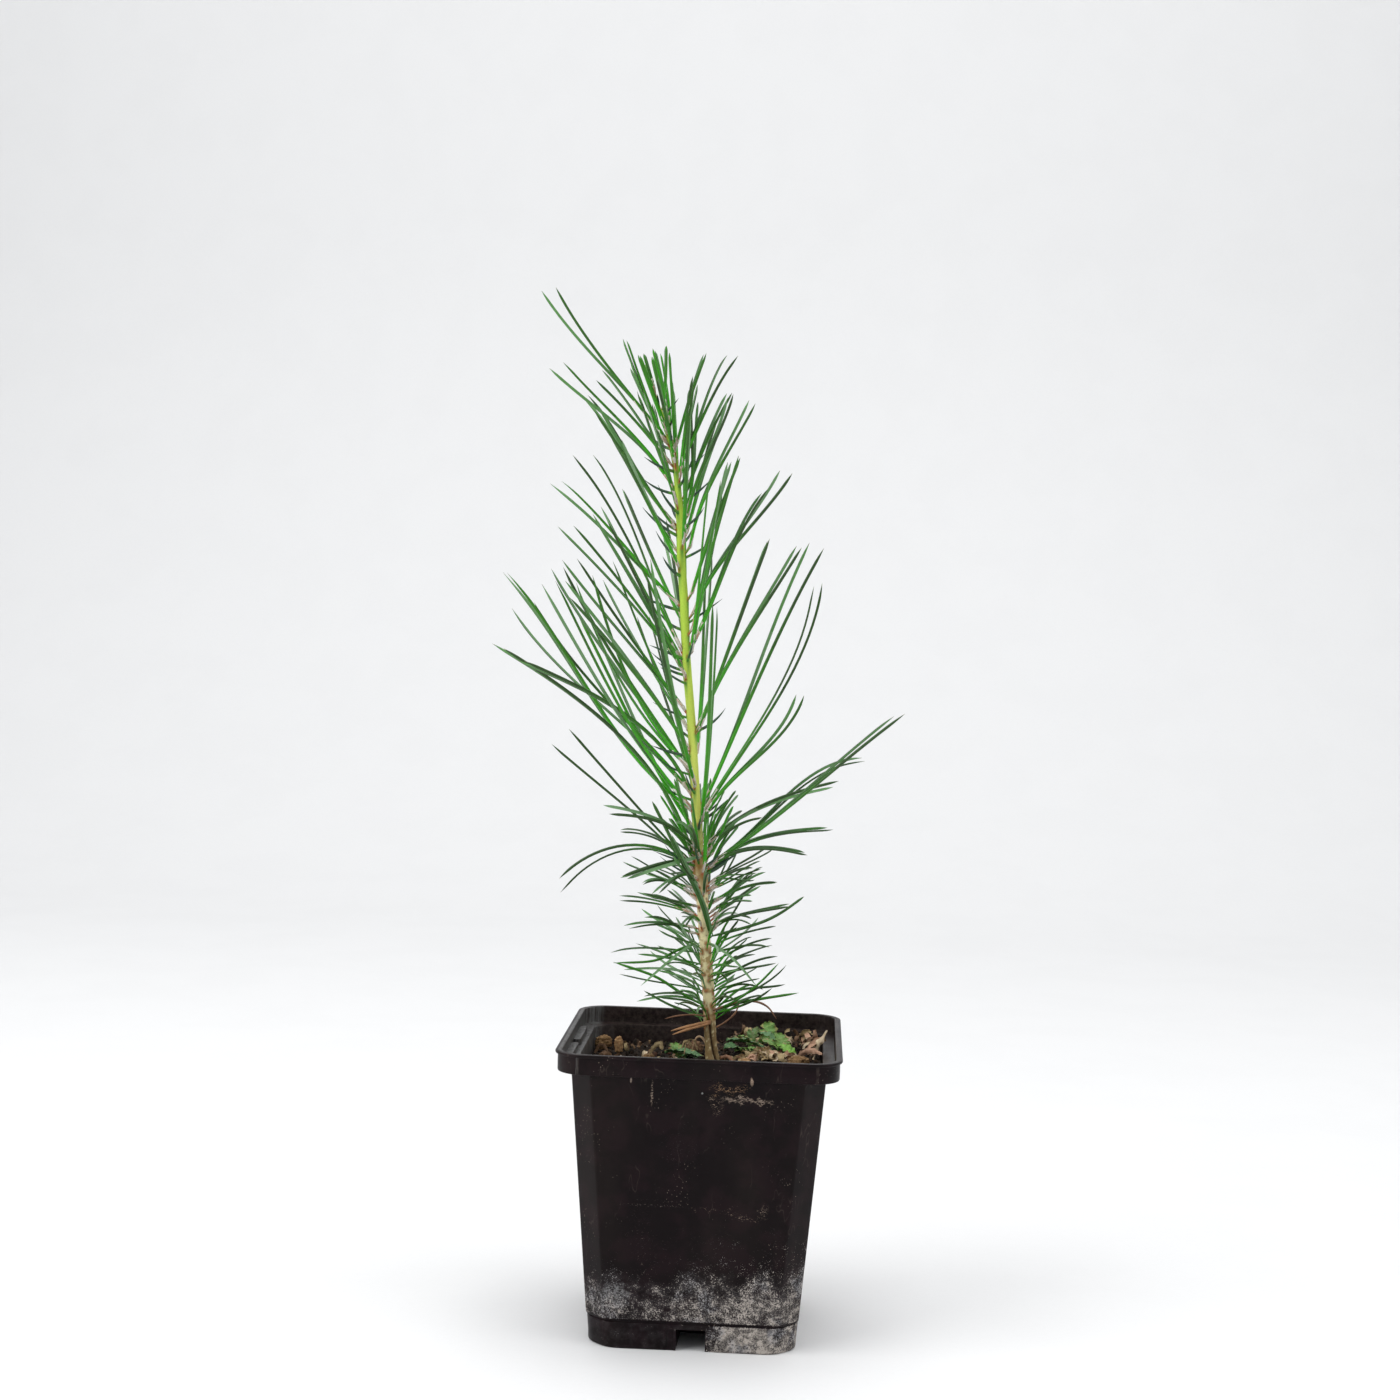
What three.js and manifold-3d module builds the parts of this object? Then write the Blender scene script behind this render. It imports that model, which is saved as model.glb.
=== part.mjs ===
// A young black pine in its square nursery pot.
// Millimetres, +Z up. The origin is under the middle of the pot, on the surface it stands on.
// An azimuth is in degrees round +Z: 0 is +X, 90 is +Y, and 270 faces the viewer.
import * as THREE from "three";
import { mergeVertices } from "three/addons/utils/BufferGeometryUtils.js";
import Module from "manifold-3d";

const wasm = await Module();
wasm.setup();

// Driving dimensions

const CLEAR = 0.3; // gap that pieces which rest on each other keep
const OVERLAP = 0.5; // how far solids that are joined or trimmed reach into each other
const BEYOND = 6; // how far a cut begins outside the face that it opens
const SAME_POINT = 1e-4; // points nearer than this are one point

const POT = {
  height: 95,
  rimHalf: 45, // half the width over the lip
  rimCorner: 10,
  bandHeight: 6.5,
  bandWall: 1.3,
  lipHeight: 0.9,
  lipOut: 0.8, // how far the lip stands out of the band
  shoulderHalf: 40.1, // half the body's width under the rim
  footHalf: 33.1, // half the body's width on the ground
  cornerCut: 6.6,
  wall: 1.2,
  floor: 1.5,
  footBevel: 0.7,
};
const CUT_LOSS = 2 - Math.SQRT2; // what an octagon's corner cut loses when it is drawn in by 1
const FOOT_POCKET = { from: 5.4, to: 7.8, height: 6.8, depth: 0.6 };
const CHANNEL = { mouthHalf: 4.65, innerHalf: 4.2, height: 7, depth: 19, wall: 1.2 };
const DRAIN = { half: 3, from: 19.5, to: 28, cut: 4 };
const LABEL_SLOT = { length: 24, width: 2.4, depth: 0.8, middles: [-19, 10] };

const SOIL = {
  level: 85, // height of the soil at the trunk
  tilt: 1.8, // rise towards +X, over half the pot's width
  lump: 0.55,
  flat: 7, // radius of the level patch round the trunk
  fade: 7, // width over which the level patch blends into the relief
  cells: 14,
};
const SOIL_RIPPLE = { x: 0.33, y: 0.29, startX: 1, startY: 0.4 }; // radians per mm, and radians
const SOIL_FORMS = [
  { x: -20, y: 20, radius: 12, rise: -2.6 }, // hollow at the back left
  { x: 22, y: 16, radius: 14, rise: 1.8 }, // mound at the back right
  { x: 24, y: -22, radius: 12, rise: 0.9 },
];

// The trunk's height, x, y and radius, from the flat cut on the soil to the tip.
const TRUNK = [
  [SOIL.level + CLEAR, 3.9, 0.0, 3.4],
  [88, 3.4, 0.1, 2.75],
  [94, 2.4, 0.3, 2.35],
  [106, 1.1, 0.4, 2.25],
  [122, -0.2, 0.2, 2.3],
  [142, -1.9, 0.0, 2.45],
  [151, -2.6, 0.0, 2.6],
  [162, -3.4, -0.2, 2.25],
  [200, -7.0, -0.4, 2.05],
  [240, -10.9, 0.2, 1.7],
  [270, -13.6, 0.5, 1.45],
  [286, -16.4, 0.3, 1.25],
  [297, -20.6, 0.1, 1.05],
  [306, -23.8, 0.0, 0.85],
];
const TRUNK_SIDES = 10;
const TRUNK_STEP = 10;
const TRUNK_LEAN_SPAN = 4; // the trunk's direction is taken over this much each way
const ROOT_FLARE = { lobes: 3, height: 7, swell: 0.22, turn: 35, rings: [0, 1.5, 3.5], end: 6 };
const BUD = {
  length: 7,
  radius: 1.15,
  sides: 8,
  profile: [[0, 0], [0.62, 0], [0.95, 0.2], [1, 0.42], [0.72, 0.72], [0.34, 0.92], [0, 1]],
};

// Each zone of the shoot carries its own kind of foliage. A zone is cut into four sectors,
// and the foliage of one sector is one mass on one slim stem beside the trunk.
const SECTORS = [
  { name: "right", middle: 0 },
  { name: "back", middle: 90 },
  { name: "left", middle: 180 },
  { name: "front", middle: 270 },
];
const GOLDEN_ANGLE = 137.508;
const ZONES = [
  {
    name: "juvenile_brush", from: 98, to: 127, count: 44, seed: 11,
    length: [25, 27], lift: [20, 13, 6], vary: 13, needles: 1, sheath: 0, radius: 0.5,
  },
  {
    name: "short_brush", from: 127, to: 148, count: 20, seed: 23,
    length: [26, 30], lift: [26, 18, 10], vary: 11, needles: 2, sheath: 6, radius: 0.55,
  },
  {
    name: "whorl", from: 148, to: 160, count: 12, seed: 37,
    length: [34, 46], lift: [42, 24, 8], vary: 9, needles: 2, sheath: 7, radius: 0.66,
  },
  {
    name: "long_low", from: 160, to: 200, count: 15, seed: 41,
    length: [88, 68], lift: [54, 57, 58], vary: 6, needles: 2, sheath: 8, radius: 0.7,
  },
  {
    name: "long_middle", from: 200, to: 245, count: 17, seed: 53,
    length: [67, 54], lift: [55, 57, 57], vary: 6, needles: 2, sheath: 8, radius: 0.68,
  },
  {
    name: "long_high", from: 245, to: 287, count: 15, seed: 67,
    length: [53, 34], lift: [58, 60, 58], vary: 6, needles: 2, sheath: 8, radius: 0.64,
  },
  {
    name: "crown_tuft", from: 287, to: 305, count: 10, seed: 79,
    length: [30, 15], lift: [66, 75, 80], vary: 6, needles: 2, sheath: 7, radius: 0.6,
  },
];
const STEM_END = 0.8; // how far a mass's stem stops short of its zone's ends

// The bundles that draw the plant's outline. at is the height of the root on the trunk, turn the
// azimuth, and lift the angle above the trunk's cross-section at the root, middle and tip.
const MARKED = [
  { at: 292, turn: 176, length: 60, lift: [72, 70, 80], fork: 5, sheath: 15 },
  { at: 275, turn: 188, length: 54, lift: [64, 49, 53], fork: 7 },
  { at: 262, turn: 165, length: 54, lift: [48, 62, 48], fork: 4 },
  { at: 236, turn: 172, length: 58, lift: [46, 50, 42], fork: 4 },
  { at: 222, turn: 199, length: 71, lift: [66, 69, 54], fork: 5 },
  { at: 216, turn: 188, length: 60, lift: [58, 54, 50], fork: 4 },
  { at: 202, turn: 184, length: 62, lift: [55, 56, 59], fork: 4 },
  { at: 183, turn: 205, length: 71, lift: [46, 65, 75], fork: 5 },
  { at: 175, turn: 164, length: 86, lift: [52, 46, 62], fork: 5 },
  { at: 169, turn: 172, length: 100, lift: [38, 60, 50], needles: 1 },
  { at: 176, turn: 194, length: 71, lift: [70, 37, 28], needles: 1 },
  { at: 156, turn: 184, length: 95, lift: [76, 46, 34], needles: 1 },
  { at: 150, turn: 192, length: 61, lift: [50, 47, 48], fork: 7 },
  { at: 150, turn: 177, length: 50, lift: [44, -9, -47], fork: 6 },
  { at: 151, turn: 162, length: 28, lift: [46, 24, -5], needles: 1 },
  { at: 152, turn: 214, length: 27, lift: [10, -8, -13], needles: 1 },
  { at: 281, turn: 8, length: 39, lift: [54, 58, 44], fork: 8 },
  { at: 264, turn: 340, length: 42, lift: [76, 60, 70], fork: 4 },
  { at: 254, turn: 350, length: 51, lift: [78, 60, 60], fork: 5 },
  { at: 233, turn: 352, length: 55, lift: [66, 48, 56], fork: 5 },
  { at: 224, turn: 335, length: 55, lift: [56, 62, 44], needles: 1 },
  { at: 198, turn: 344, length: 65, lift: [63, 54, 55], fork: 4 },
  { at: 196, turn: 324, length: 67, lift: [60, 61, 60], needles: 1 },
  { at: 173, turn: 8, length: 89, lift: [62, 64, 58], fork: 5 },
  { at: 170, turn: 350, length: 82, lift: [55, 56, 79], needles: 1 },
  { at: 168, turn: 338, length: 52, lift: [55, 39, 68], fork: 4 },
  { at: 151, turn: 352, length: 80, lift: [31, 38, 35], needles: 1 },
  { at: 151, turn: 12, length: 62, lift: [26, 40, -3], needles: 1 },
  { at: 150, turn: 24, length: 46, lift: [38, 8, -2], needles: 1 },
  { at: 150, turn: 340, length: 35, lift: [40, 4, -13], needles: 1 },
  { at: 154, turn: 328, length: 26, lift: [58, 34, 12], fork: 9 },
];
const TAKEN = { turn: 30, height: 5 }; // a marked bundle takes the place of one this near it
const OPEN_SKY = { turn: 0, spread: 62, from: 162, to: 245 }; // only marked bundles grow in here

const STEM = { radius: 0.6, sides: 4, step: 9 };
const TWIG = { radius: 0.45, drop: 0.2 }; // it leaves the mass's stem that far below the bundle
const SHEATH = { knee: 0.62, mouth: 0.84, core: 0.4, sunk: 2.5, off: 0.1 };
const NEEDLE_SIDES = 3;
const NEEDLE_RINGS = { short: [0.5], long: [0.34, 0.7] }; // where along a needle its rings lie
const NEEDLE_TAPER = { short: [1, 0.95], long: [0.9, 1, 0.85] }; // radius at the root and rings
const FINISH = 0.02; // how far the joined skin may move as slivers are cleared
const ROUTE_STEPS = 24;
const FREE = 0.16; // least gap between needles of different masses
const LOWEST_NEEDLE = 97.5;
const TRIES = 12;
const SHIFT = { first: 1.5, more: 0.9, tilt: 0.8 }; // degrees a bundle is moved at each new try
const TRUNK_STRETCH = 3; // length of the stretches that the needles are kept clear of

// How far the draws spread a bundle about its zone's values.
const SPREAD = {
  height: 0.5,
  turn: 12,
  length: [0.88, 1.06],
  sway: 14,
  fork: [3, 7.5],
  forkTurn: 180,
  twin: [0.93, 1],
  sheath: [0.9, 1.1],
};
const MARKED_SPREAD = { sway: 8, fork: 4, forkTurn: 60, twin: [0.94, 1] };
const SEEDS = { zone: 1000, marked: 500000, chip: 900, cover: 700 };

const CHIPS = [
  { x: -34, y: 27, size: [3.6, 2.6, 2.6], turn: 30 },
  { x: -29.5, y: 24, size: [1.9, 1.5, 3.4], turn: 80 },
  { x: -33, y: 8, size: [2.9, 2.2, 1.9], turn: 120 },
  { x: -18.5, y: 5, size: [2.6, 2.0, 1.8], turn: 60 },
  { x: -4, y: 21, size: [3.3, 2.6, 2.4], turn: 10 },
  { x: 31, y: -6, size: [4.0, 2.6, 2.0], turn: 160 },
  { x: 14, y: -7, size: [3.4, 2.2, 1.7], turn: 95 },
];
const COVER = [
  { name: "moss_patch_left", x: -7.5, y: 8.5, half: [7, 5], turn: 10, rise: 1.6 },
  { name: "moss_patch_right", x: 16, y: 14, half: [11, 6.5], turn: 15, rise: 2.2 },
  { name: "moss_patch_back", x: 18, y: 28, half: [7, 4], turn: -10, rise: 3.2 },
  { name: "leaf_litter_front", x: 19, y: 0.5, half: [9, 3.4], turn: 4, rise: 1.8 },
  { name: "leaf_litter_right", x: 35, y: 21, half: [2.6, 8], turn: -12, rise: 4.2 },
];
const CHIP_FORM = { swell: [0.82, 1.12], tip: 0.2, rest: 0.6 };
const COVER_FORM = {
  sides: 12,
  sunk: 3,
  edge: 0.9, // height of the outer edge above the soil
  swell: [0.8, 1.12],
  lumps: [0.85, 1.15],
  shoulder: { share: 0.62, height: 1 },
  crown: { share: 0.25, height: 1.1 },
};

const COLOURS = {
  pot: { color: 0x1d1b1c, roughness: 0.48 },
  soil: { color: 0x3a2b20, roughness: 0.95 },
  bark: { color: 0x9a7f57, roughness: 0.85 },
  bud: { color: 0x6f8a45, roughness: 0.6 },
  chip: { color: 0x8a6540, roughness: 0.9 },
  moss: { color: 0x2f6a35, roughness: 0.8 },
  litter: { color: 0xb0946a, roughness: 0.9 },
  shortNeedle: { color: 0x2d6b3a, roughness: 0.45 },
  longNeedle: { color: 0x2a8a34, roughness: 0.4 },
};

// Small helpers

const radians = THREE.MathUtils.degToRad;
const { lerp, smoothstep } = THREE.MathUtils;

// A source of even draws from 0 to 1 that a seed fixes.
function seeded(seed) {
  let state = seed >>> 0;
  return () => {
    state = (state + 0x6d2b79f5) >>> 0;
    let t = state;
    t = Math.imul(t ^ (t >>> 15), t | 1);
    t ^= t + Math.imul(t ^ (t >>> 7), t | 61);
    return ((t ^ (t >>> 14)) >>> 0) / 4294967296;
  };
}

function solidOf(geometry) {
  const bare = geometry.clone();
  bare.deleteAttribute("normal");
  bare.deleteAttribute("uv");
  const merged = mergeVertices(bare, SAME_POINT);
  return new wasm.Manifold(
    new wasm.Mesh({
      numProp: 3,
      vertProperties: merged.attributes.position.array,
      triVerts: new Uint32Array(merged.index.array),
    }),
  );
}

function meshOf(name, solid, { color, roughness }) {
  const { vertProperties, triVerts } = solid.getMesh();
  const geometry = new THREE.BufferGeometry();
  geometry.setAttribute("position", new THREE.BufferAttribute(vertProperties, 3));
  geometry.setIndex(new THREE.BufferAttribute(triVerts, 1));
  geometry.computeVertexNormals();
  const material = new THREE.MeshStandardMaterial({ color, roughness, metalness: 0 });
  const mesh = new THREE.Mesh(geometry, material);
  mesh.name = name;
  return mesh;
}

// The closed skin over a row of rings, which all have as many points, or one point at a tip.
function skin(rings) {
  const points = rings.flat();
  const starts = [];
  let count = 0;
  for (const ring of rings) {
    starts.push(count);
    count += ring.length;
  }
  const faces = [];
  const sides = Math.max(...rings.map((ring) => ring.length));
  for (let i = 0; i + 1 < rings.length; i++)
    for (let j = 0; j < sides; j++) {
      const next = (j + 1) % sides;
      const [a, b] = [starts[i], starts[i + 1]];
      if (rings[i + 1].length === 1) faces.push(a + j, a + next, b);
      else faces.push(a + j, a + next, b + next, a + j, b + next, b + j);
    }
  const cap = (start, isLast) => {
    for (let j = 1; j + 1 < sides; j++)
      if (isLast) faces.push(start, start + j, start + j + 1);
      else faces.push(start, start + j + 1, start + j);
  };
  cap(0, false);
  if (rings.at(-1).length > 1) cap(starts.at(-1), true);
  const geometry = new THREE.BufferGeometry().setFromPoints(points);
  geometry.setIndex(facingOut(points, faces));
  return geometry;
}

function facingOut(points, faces) {
  let volume = 0;
  for (let i = 0; i < faces.length; i += 3) {
    const [a, b, c] = [points[faces[i]], points[faces[i + 1]], points[faces[i + 2]]];
    volume += a.dot(new THREE.Vector3().crossVectors(b, c));
  }
  if (volume > 0) return faces;
  const turned = faces.slice();
  for (let i = 0; i < turned.length; i += 3)
    [turned[i + 1], turned[i + 2]] = [turned[i + 2], turned[i + 1]];
  return turned;
}

// A tube through points, with a radius at each. A radius of 0 at the end makes a sharp tip.
function tube(points, radii, sides) {
  const across = new THREE.Vector3(1, 0, 0);
  const rings = points.map((point, i) => {
    if (radii[i] === 0) return [point.clone()];
    const along = new THREE.Vector3().subVectors(
      points[Math.min(i + 1, points.length - 1)],
      points[Math.max(i - 1, 0)],
    ).normalize();
    if (i === 0 && Math.abs(along.x) > 0.7) across.set(0, 1, 0);
    across.addScaledVector(along, -across.dot(along)).normalize();
    const over = new THREE.Vector3().crossVectors(along, across);
    return Array.from({ length: sides }, (_, j) => {
      const angle = (2 * Math.PI * j) / sides;
      return point
        .clone()
        .addScaledVector(across, radii[i] * Math.cos(angle))
        .addScaledVector(over, radii[i] * Math.sin(angle));
    });
  });
  return skin(rings);
}

const union = (solids) => wasm.Manifold.union(solids);
const largest = (solid) =>
  solid.decompose().reduce((a, b) => (a.volume() > b.volume() ? a : b));

// The pot

function potHalf(z) {
  const shoulder = POT.height - POT.bandHeight;
  return lerp(POT.footHalf, POT.shoulderHalf, z / shoulder);
}

function octagon(half, cut, z) {
  const near = half - cut;
  return [
    [half, -near], [half, near], [near, half], [-near, half],
    [-half, near], [-half, -near], [-near, -half], [near, -half],
  ].map(([x, y]) => new THREE.Vector3(x, y, z));
}

function roundedSquare(half, corner, bottom, top) {
  const near = half - corner;
  const outline = new THREE.Shape();
  outline.absarc(near, near, corner, 0, Math.PI / 2);
  outline.absarc(-near, near, corner, Math.PI / 2, Math.PI);
  outline.absarc(-near, -near, corner, Math.PI, 1.5 * Math.PI);
  outline.absarc(near, -near, corner, 1.5 * Math.PI, 2 * Math.PI);
  const options = { depth: top - bottom, bevelEnabled: false, curveSegments: 4 };
  return solidOf(new THREE.ExtrudeGeometry(outline, options).translate(0, 0, bottom));
}

// The space inside the pot's walls, drawn in by a gap.
function potInside(gap, bottom, top) {
  const inset = POT.wall + gap;
  const cut = POT.cornerCut - CUT_LOSS * inset;
  return solidOf(
    skin([octagon(potHalf(bottom) - inset, cut, bottom), octagon(potHalf(top) - inset, cut, top)]),
  );
}

// A drainage channel runs in from the middle of each side, narrowing as it goes. grow makes the
// casing round it, and from is how far out of the pot's middle it begins.
function channel(grow, from) {
  const ring = (y) => {
    const share = (y + POT.footHalf) / CHANNEL.depth;
    const half = lerp(CHANNEL.mouthHalf, CHANNEL.innerHalf, share) + grow;
    const [bottom, top] = [grow > 0 ? 0 : -OVERLAP, CHANNEL.height + grow];
    return [
      new THREE.Vector3(-half, y, bottom),
      new THREE.Vector3(half, y, bottom),
      new THREE.Vector3(half, y, top),
      new THREE.Vector3(-half, y, top),
    ];
  };
  return skin([ring(-from), ring(CHANNEL.depth + grow - POT.footHalf)]);
}

// A shallow pocket in the foot, beside the mouth of a channel.
function footPocket(side) {
  const ring = (x) => [
    new THREE.Vector3(side * x, -potHalf(0) - BEYOND, -OVERLAP),
    new THREE.Vector3(side * x, FOOT_POCKET.depth - potHalf(-OVERLAP), -OVERLAP),
    new THREE.Vector3(side * x, FOOT_POCKET.depth - potHalf(FOOT_POCKET.height), FOOT_POCKET.height),
    new THREE.Vector3(side * x, -potHalf(0) - BEYOND, FOOT_POCKET.height),
  ];
  return skin([ring(FOOT_POCKET.from), ring(FOOT_POCKET.to)]);
}

function onEachSide(geometry) {
  return [0, 1, 2, 3].map((i) => solidOf(geometry.clone().rotateZ((i * Math.PI) / 2)));
}

const box = (sizes, middle) =>
  solidOf(new THREE.BoxGeometry(...sizes).translate(...middle));

function pot() {
  const shoulder = POT.height - POT.bandHeight;
  const bevel = POT.footBevel;
  const body = solidOf(
    skin([
      octagon(POT.footHalf - bevel, POT.cornerCut - CUT_LOSS * bevel, 0),
      octagon(potHalf(bevel), POT.cornerCut, bevel),
      octagon(POT.shoulderHalf, POT.cornerCut, shoulder + OVERLAP),
    ]),
  );
  const bandHalf = POT.rimHalf - POT.lipOut;
  const band = roundedSquare(bandHalf, POT.rimCorner - POT.lipOut, shoulder, POT.height);
  const lip = roundedSquare(
    POT.rimHalf, POT.rimCorner, POT.height - POT.lipHeight, POT.height,
  );
  const mouth = roundedSquare(
    bandHalf - POT.bandWall,
    POT.rimCorner - POT.lipOut - POT.bandWall,
    shoulder + POT.wall,
    POT.height + OVERLAP,
  );
  const inside = potInside(0, POT.floor, shoulder + POT.wall + OVERLAP);
  const shell = union([body, band, lip]).subtract(union([mouth, inside]));
  const casings = onEachSide(channel(CHANNEL.wall, POT.footHalf - bevel));
  const cuts = [
    ...onEachSide(channel(0, POT.footHalf + BEYOND)),
    ...onEachSide(footPocket(1)),
    ...onEachSide(footPocket(-1)),
    ...onEachSide(
      new THREE.BoxGeometry(2 * DRAIN.half, DRAIN.to - DRAIN.from, DRAIN.cut).translate(
        0, -(DRAIN.from + DRAIN.to) / 2, CHANNEL.height + CHANNEL.wall,
      ),
    ),
    ...LABEL_SLOT.middles.map((y) =>
      box(
        [LABEL_SLOT.width, LABEL_SLOT.length, 2 * LABEL_SLOT.depth],
        [LABEL_SLOT.width / 2 + POT.bandWall - bandHalf, y, shoulder + POT.wall],
      ),
    ),
  ];
  return union([shell, ...casings]).subtract(union(cuts));
}

// The soil and what lies on it

function soilHeight(x, y) {
  const [, trunkX, trunkY] = TRUNK[0];
  const away = Math.hypot(x - trunkX, y - trunkY);
  let relief = (SOIL.tilt * x) / POT.shoulderHalf;
  for (const form of SOIL_FORMS) {
    const reach = Math.hypot(x - form.x, y - form.y) / form.radius;
    relief += form.rise * Math.exp(-reach * reach);
  }
  const ripple = SOIL_RIPPLE;
  relief +=
    SOIL.lump * Math.sin(ripple.x * x + ripple.startX) * Math.cos(ripple.y * y + ripple.startY);
  return SOIL.level + relief * smoothstep(away, SOIL.flat, SOIL.flat + SOIL.fade);
}

// Everything under the soil's surface, which raise lifts.
function ground(raise) {
  const width = 2 * POT.rimHalf;
  const block = new THREE.BoxGeometry(width, width, POT.height, SOIL.cells, SOIL.cells, 1);
  const position = block.attributes.position;
  for (let i = 0; i < position.count; i++) {
    const [x, y] = [position.getX(i), position.getY(i)];
    position.setZ(i, position.getZ(i) > 0 ? soilHeight(x, y) + raise : 0);
  }
  return solidOf(block);
}

function soil() {
  const bottom = POT.floor + CLEAR;
  const filled = ground(0).intersect(potInside(CLEAR, bottom, POT.height));
  const channels = onEachSide(channel(CHANNEL.wall + CLEAR, POT.footHalf + BEYOND));
  return filled.subtract(union(channels));
}

// A piece that lies on the soil: what of it is above the soil and inside the pot's walls.
function settled(solid) {
  const room = potInside(2 * CLEAR, POT.floor, POT.height);
  return largest(solid.intersect(room).subtract(ground(CLEAR)));
}

function chip({ x, y, size, turn }, index) {
  const random = seeded(SEEDS.chip + index);
  const stone = mergeVertices(
    new THREE.IcosahedronGeometry(1, 0).deleteAttribute("normal").deleteAttribute("uv"),
    SAME_POINT,
  );
  const position = stone.attributes.position;
  for (let i = 0; i < position.count; i++) {
    const swell = lerp(...CHIP_FORM.swell, random());
    position.setXYZ(
      i,
      position.getX(i) * swell,
      position.getY(i) * swell,
      position.getZ(i) * swell,
    );
  }
  stone.scale(...size).rotateX(CHIP_FORM.tip).rotateZ(radians(turn));
  stone.translate(x, y, soilHeight(x, y) + CHIP_FORM.rest * size[2]);
  return settled(solidOf(stone));
}

function cover({ x, y, half, turn, rise }, index) {
  const random = seeded(SEEDS.cover + index);
  const { sides, sunk, edge, swell, lumps, shoulder, crown } = COVER_FORM;
  const swells = Array.from({ length: sides }, () => lerp(...swell, random()));
  const [c, s] = [Math.cos(radians(turn)), Math.sin(radians(turn))];
  const ring = (share, height) =>
    swells.map((reach, j) => {
      const angle = (2 * Math.PI * j) / sides;
      const [across, along] = [half[0] * Math.cos(angle), half[1] * Math.sin(angle)];
      const px = x + share * reach * (across * c - along * s);
      const py = y + share * reach * (across * s + along * c);
      return new THREE.Vector3(px, py, soilHeight(px, py) + height * lerp(...lumps, random()));
    });
  const rings = [
    ring(1, -sunk),
    ring(1, edge),
    ring(shoulder.share, shoulder.height * rise),
    ring(crown.share, crown.height * rise),
  ];
  return settled(solidOf(skin(rings)));
}

// The trunk

// One column of the trunk's table at a height, on a smooth curve through its rows.
function trunkValue(z, column) {
  const last = TRUNK.length - 1;
  const height = Math.min(Math.max(z, TRUNK[0][0]), TRUNK[last][0]);
  let i = 0;
  while (i < last - 1 && height > TRUNK[i + 1][0]) i++;
  const slope = (k) => {
    const [before, after] = [TRUNK[Math.max(k - 1, 0)], TRUNK[Math.min(k + 1, last)]];
    return (after[column] - before[column]) / (after[0] - before[0]);
  };
  const [a, b] = [TRUNK[i], TRUNK[i + 1]];
  const span = b[0] - a[0];
  const t = (height - a[0]) / span;
  return (
    a[column] * (1 + 2 * t) * (1 - t) ** 2 +
    b[column] * t * t * (3 - 2 * t) +
    slope(i) * span * t * (1 - t) ** 2 -
    slope(i + 1) * span * t * t * (1 - t)
  );
}

const axisAt = (z) => new THREE.Vector3(trunkValue(z, 1), trunkValue(z, 2), z);
const trunkRadius = (z) => trunkValue(z, 3);

// The trunk's direction at a height, with the outward and sideways directions at an azimuth.
function frameAt(z, azimuth) {
  const top = TRUNK.at(-1)[0];
  const high = Math.min(z + TRUNK_LEAN_SPAN, top);
  const low = Math.max(high - 2 * TRUNK_LEAN_SPAN, TRUNK[0][0]);
  const along = axisAt(high).sub(axisAt(low)).normalize();
  const outward = new THREE.Vector3(Math.cos(radians(azimuth)), Math.sin(radians(azimuth)), 0);
  outward.addScaledVector(along, -outward.dot(along)).normalize();
  const sideways = new THREE.Vector3().crossVectors(along, outward);
  return { along, outward, sideways };
}

const besideTrunk = (z, azimuth, gap) =>
  axisAt(z).addScaledVector(frameAt(z, azimuth).outward, trunkRadius(z) + gap);

function trunk() {
  const [bottom, top] = [TRUNK[0][0], TRUNK.at(-1)[0]];
  const heights = ROOT_FLARE.rings.map((rise) => bottom + rise);
  const flareTop = bottom + ROOT_FLARE.end;
  const steps = Math.round((top - flareTop) / TRUNK_STEP);
  for (let i = 0; i <= steps; i++) heights.push(lerp(flareTop, top, i / steps));
  const rings = heights.map((z) => {
    const flare = ROOT_FLARE.swell * Math.max(0, 1 - (z - bottom) / ROOT_FLARE.height);
    return Array.from({ length: TRUNK_SIDES }, (_, j) => {
      const azimuth = (360 * j) / TRUNK_SIDES;
      const lobe = Math.cos(radians(ROOT_FLARE.lobes * (azimuth - ROOT_FLARE.turn)));
      const reach = trunkRadius(z) * (1 + flare * lobe);
      const level = z === bottom;
      const outward = level
        ? new THREE.Vector3(Math.cos(radians(azimuth)), Math.sin(radians(azimuth)), 0)
        : frameAt(z, azimuth).outward;
      return axisAt(z).addScaledVector(outward, reach);
    });
  });
  return solidOf(skin(rings));
}

function terminalBud() {
  const { length, radius, sides } = BUD;
  const profile = BUD.profile.map(([r, h]) => new THREE.Vector2(r * radius, h * length));
  const top = TRUNK.at(-1)[0];
  const { along } = frameAt(top, 0);
  const seat = axisAt(top).addScaledVector(along, CLEAR);
  const bud = new THREE.LatheGeometry(profile, sides);
  bud.applyQuaternion(
    new THREE.Quaternion().setFromUnitVectors(new THREE.Vector3(0, 1, 0), along),
  );
  return solidOf(bud.translate(seat.x, seat.y, seat.z));
}

// The foliage

// A bundle of needles: where it roots and how it grows. The draws come in a fixed order.
function ruleBundle(zone, index, turn) {
  const random = seeded(SEEDS.zone * zone.seed + index);
  const share = (index + 0.5) / zone.count;
  const vary = () => zone.vary * (2 * random() - 1);
  const [bottom, top] = [zone.from + 2 * STEM_END, zone.to - 2 * STEM_END];
  const bend = vary();
  return {
    at: lerp(bottom, top, share) + SPREAD.height * (random() - 0.5),
    turn: turn + SPREAD.turn * (random() - 0.5),
    length: lerp(...zone.length, share) * lerp(...SPREAD.length, random()),
    lift: [zone.lift[0] + vary(), zone.lift[1] + bend, zone.lift[2] + bend + vary()],
    sway: SPREAD.sway * (random() - 0.5),
    fork: lerp(...SPREAD.fork, random()),
    forkTurn: SPREAD.forkTurn * random(),
    twin: lerp(...SPREAD.twin, random()),
    needles: zone.needles,
    sheath: zone.sheath * lerp(...SPREAD.sheath, random()),
    random,
  };
}

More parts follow.
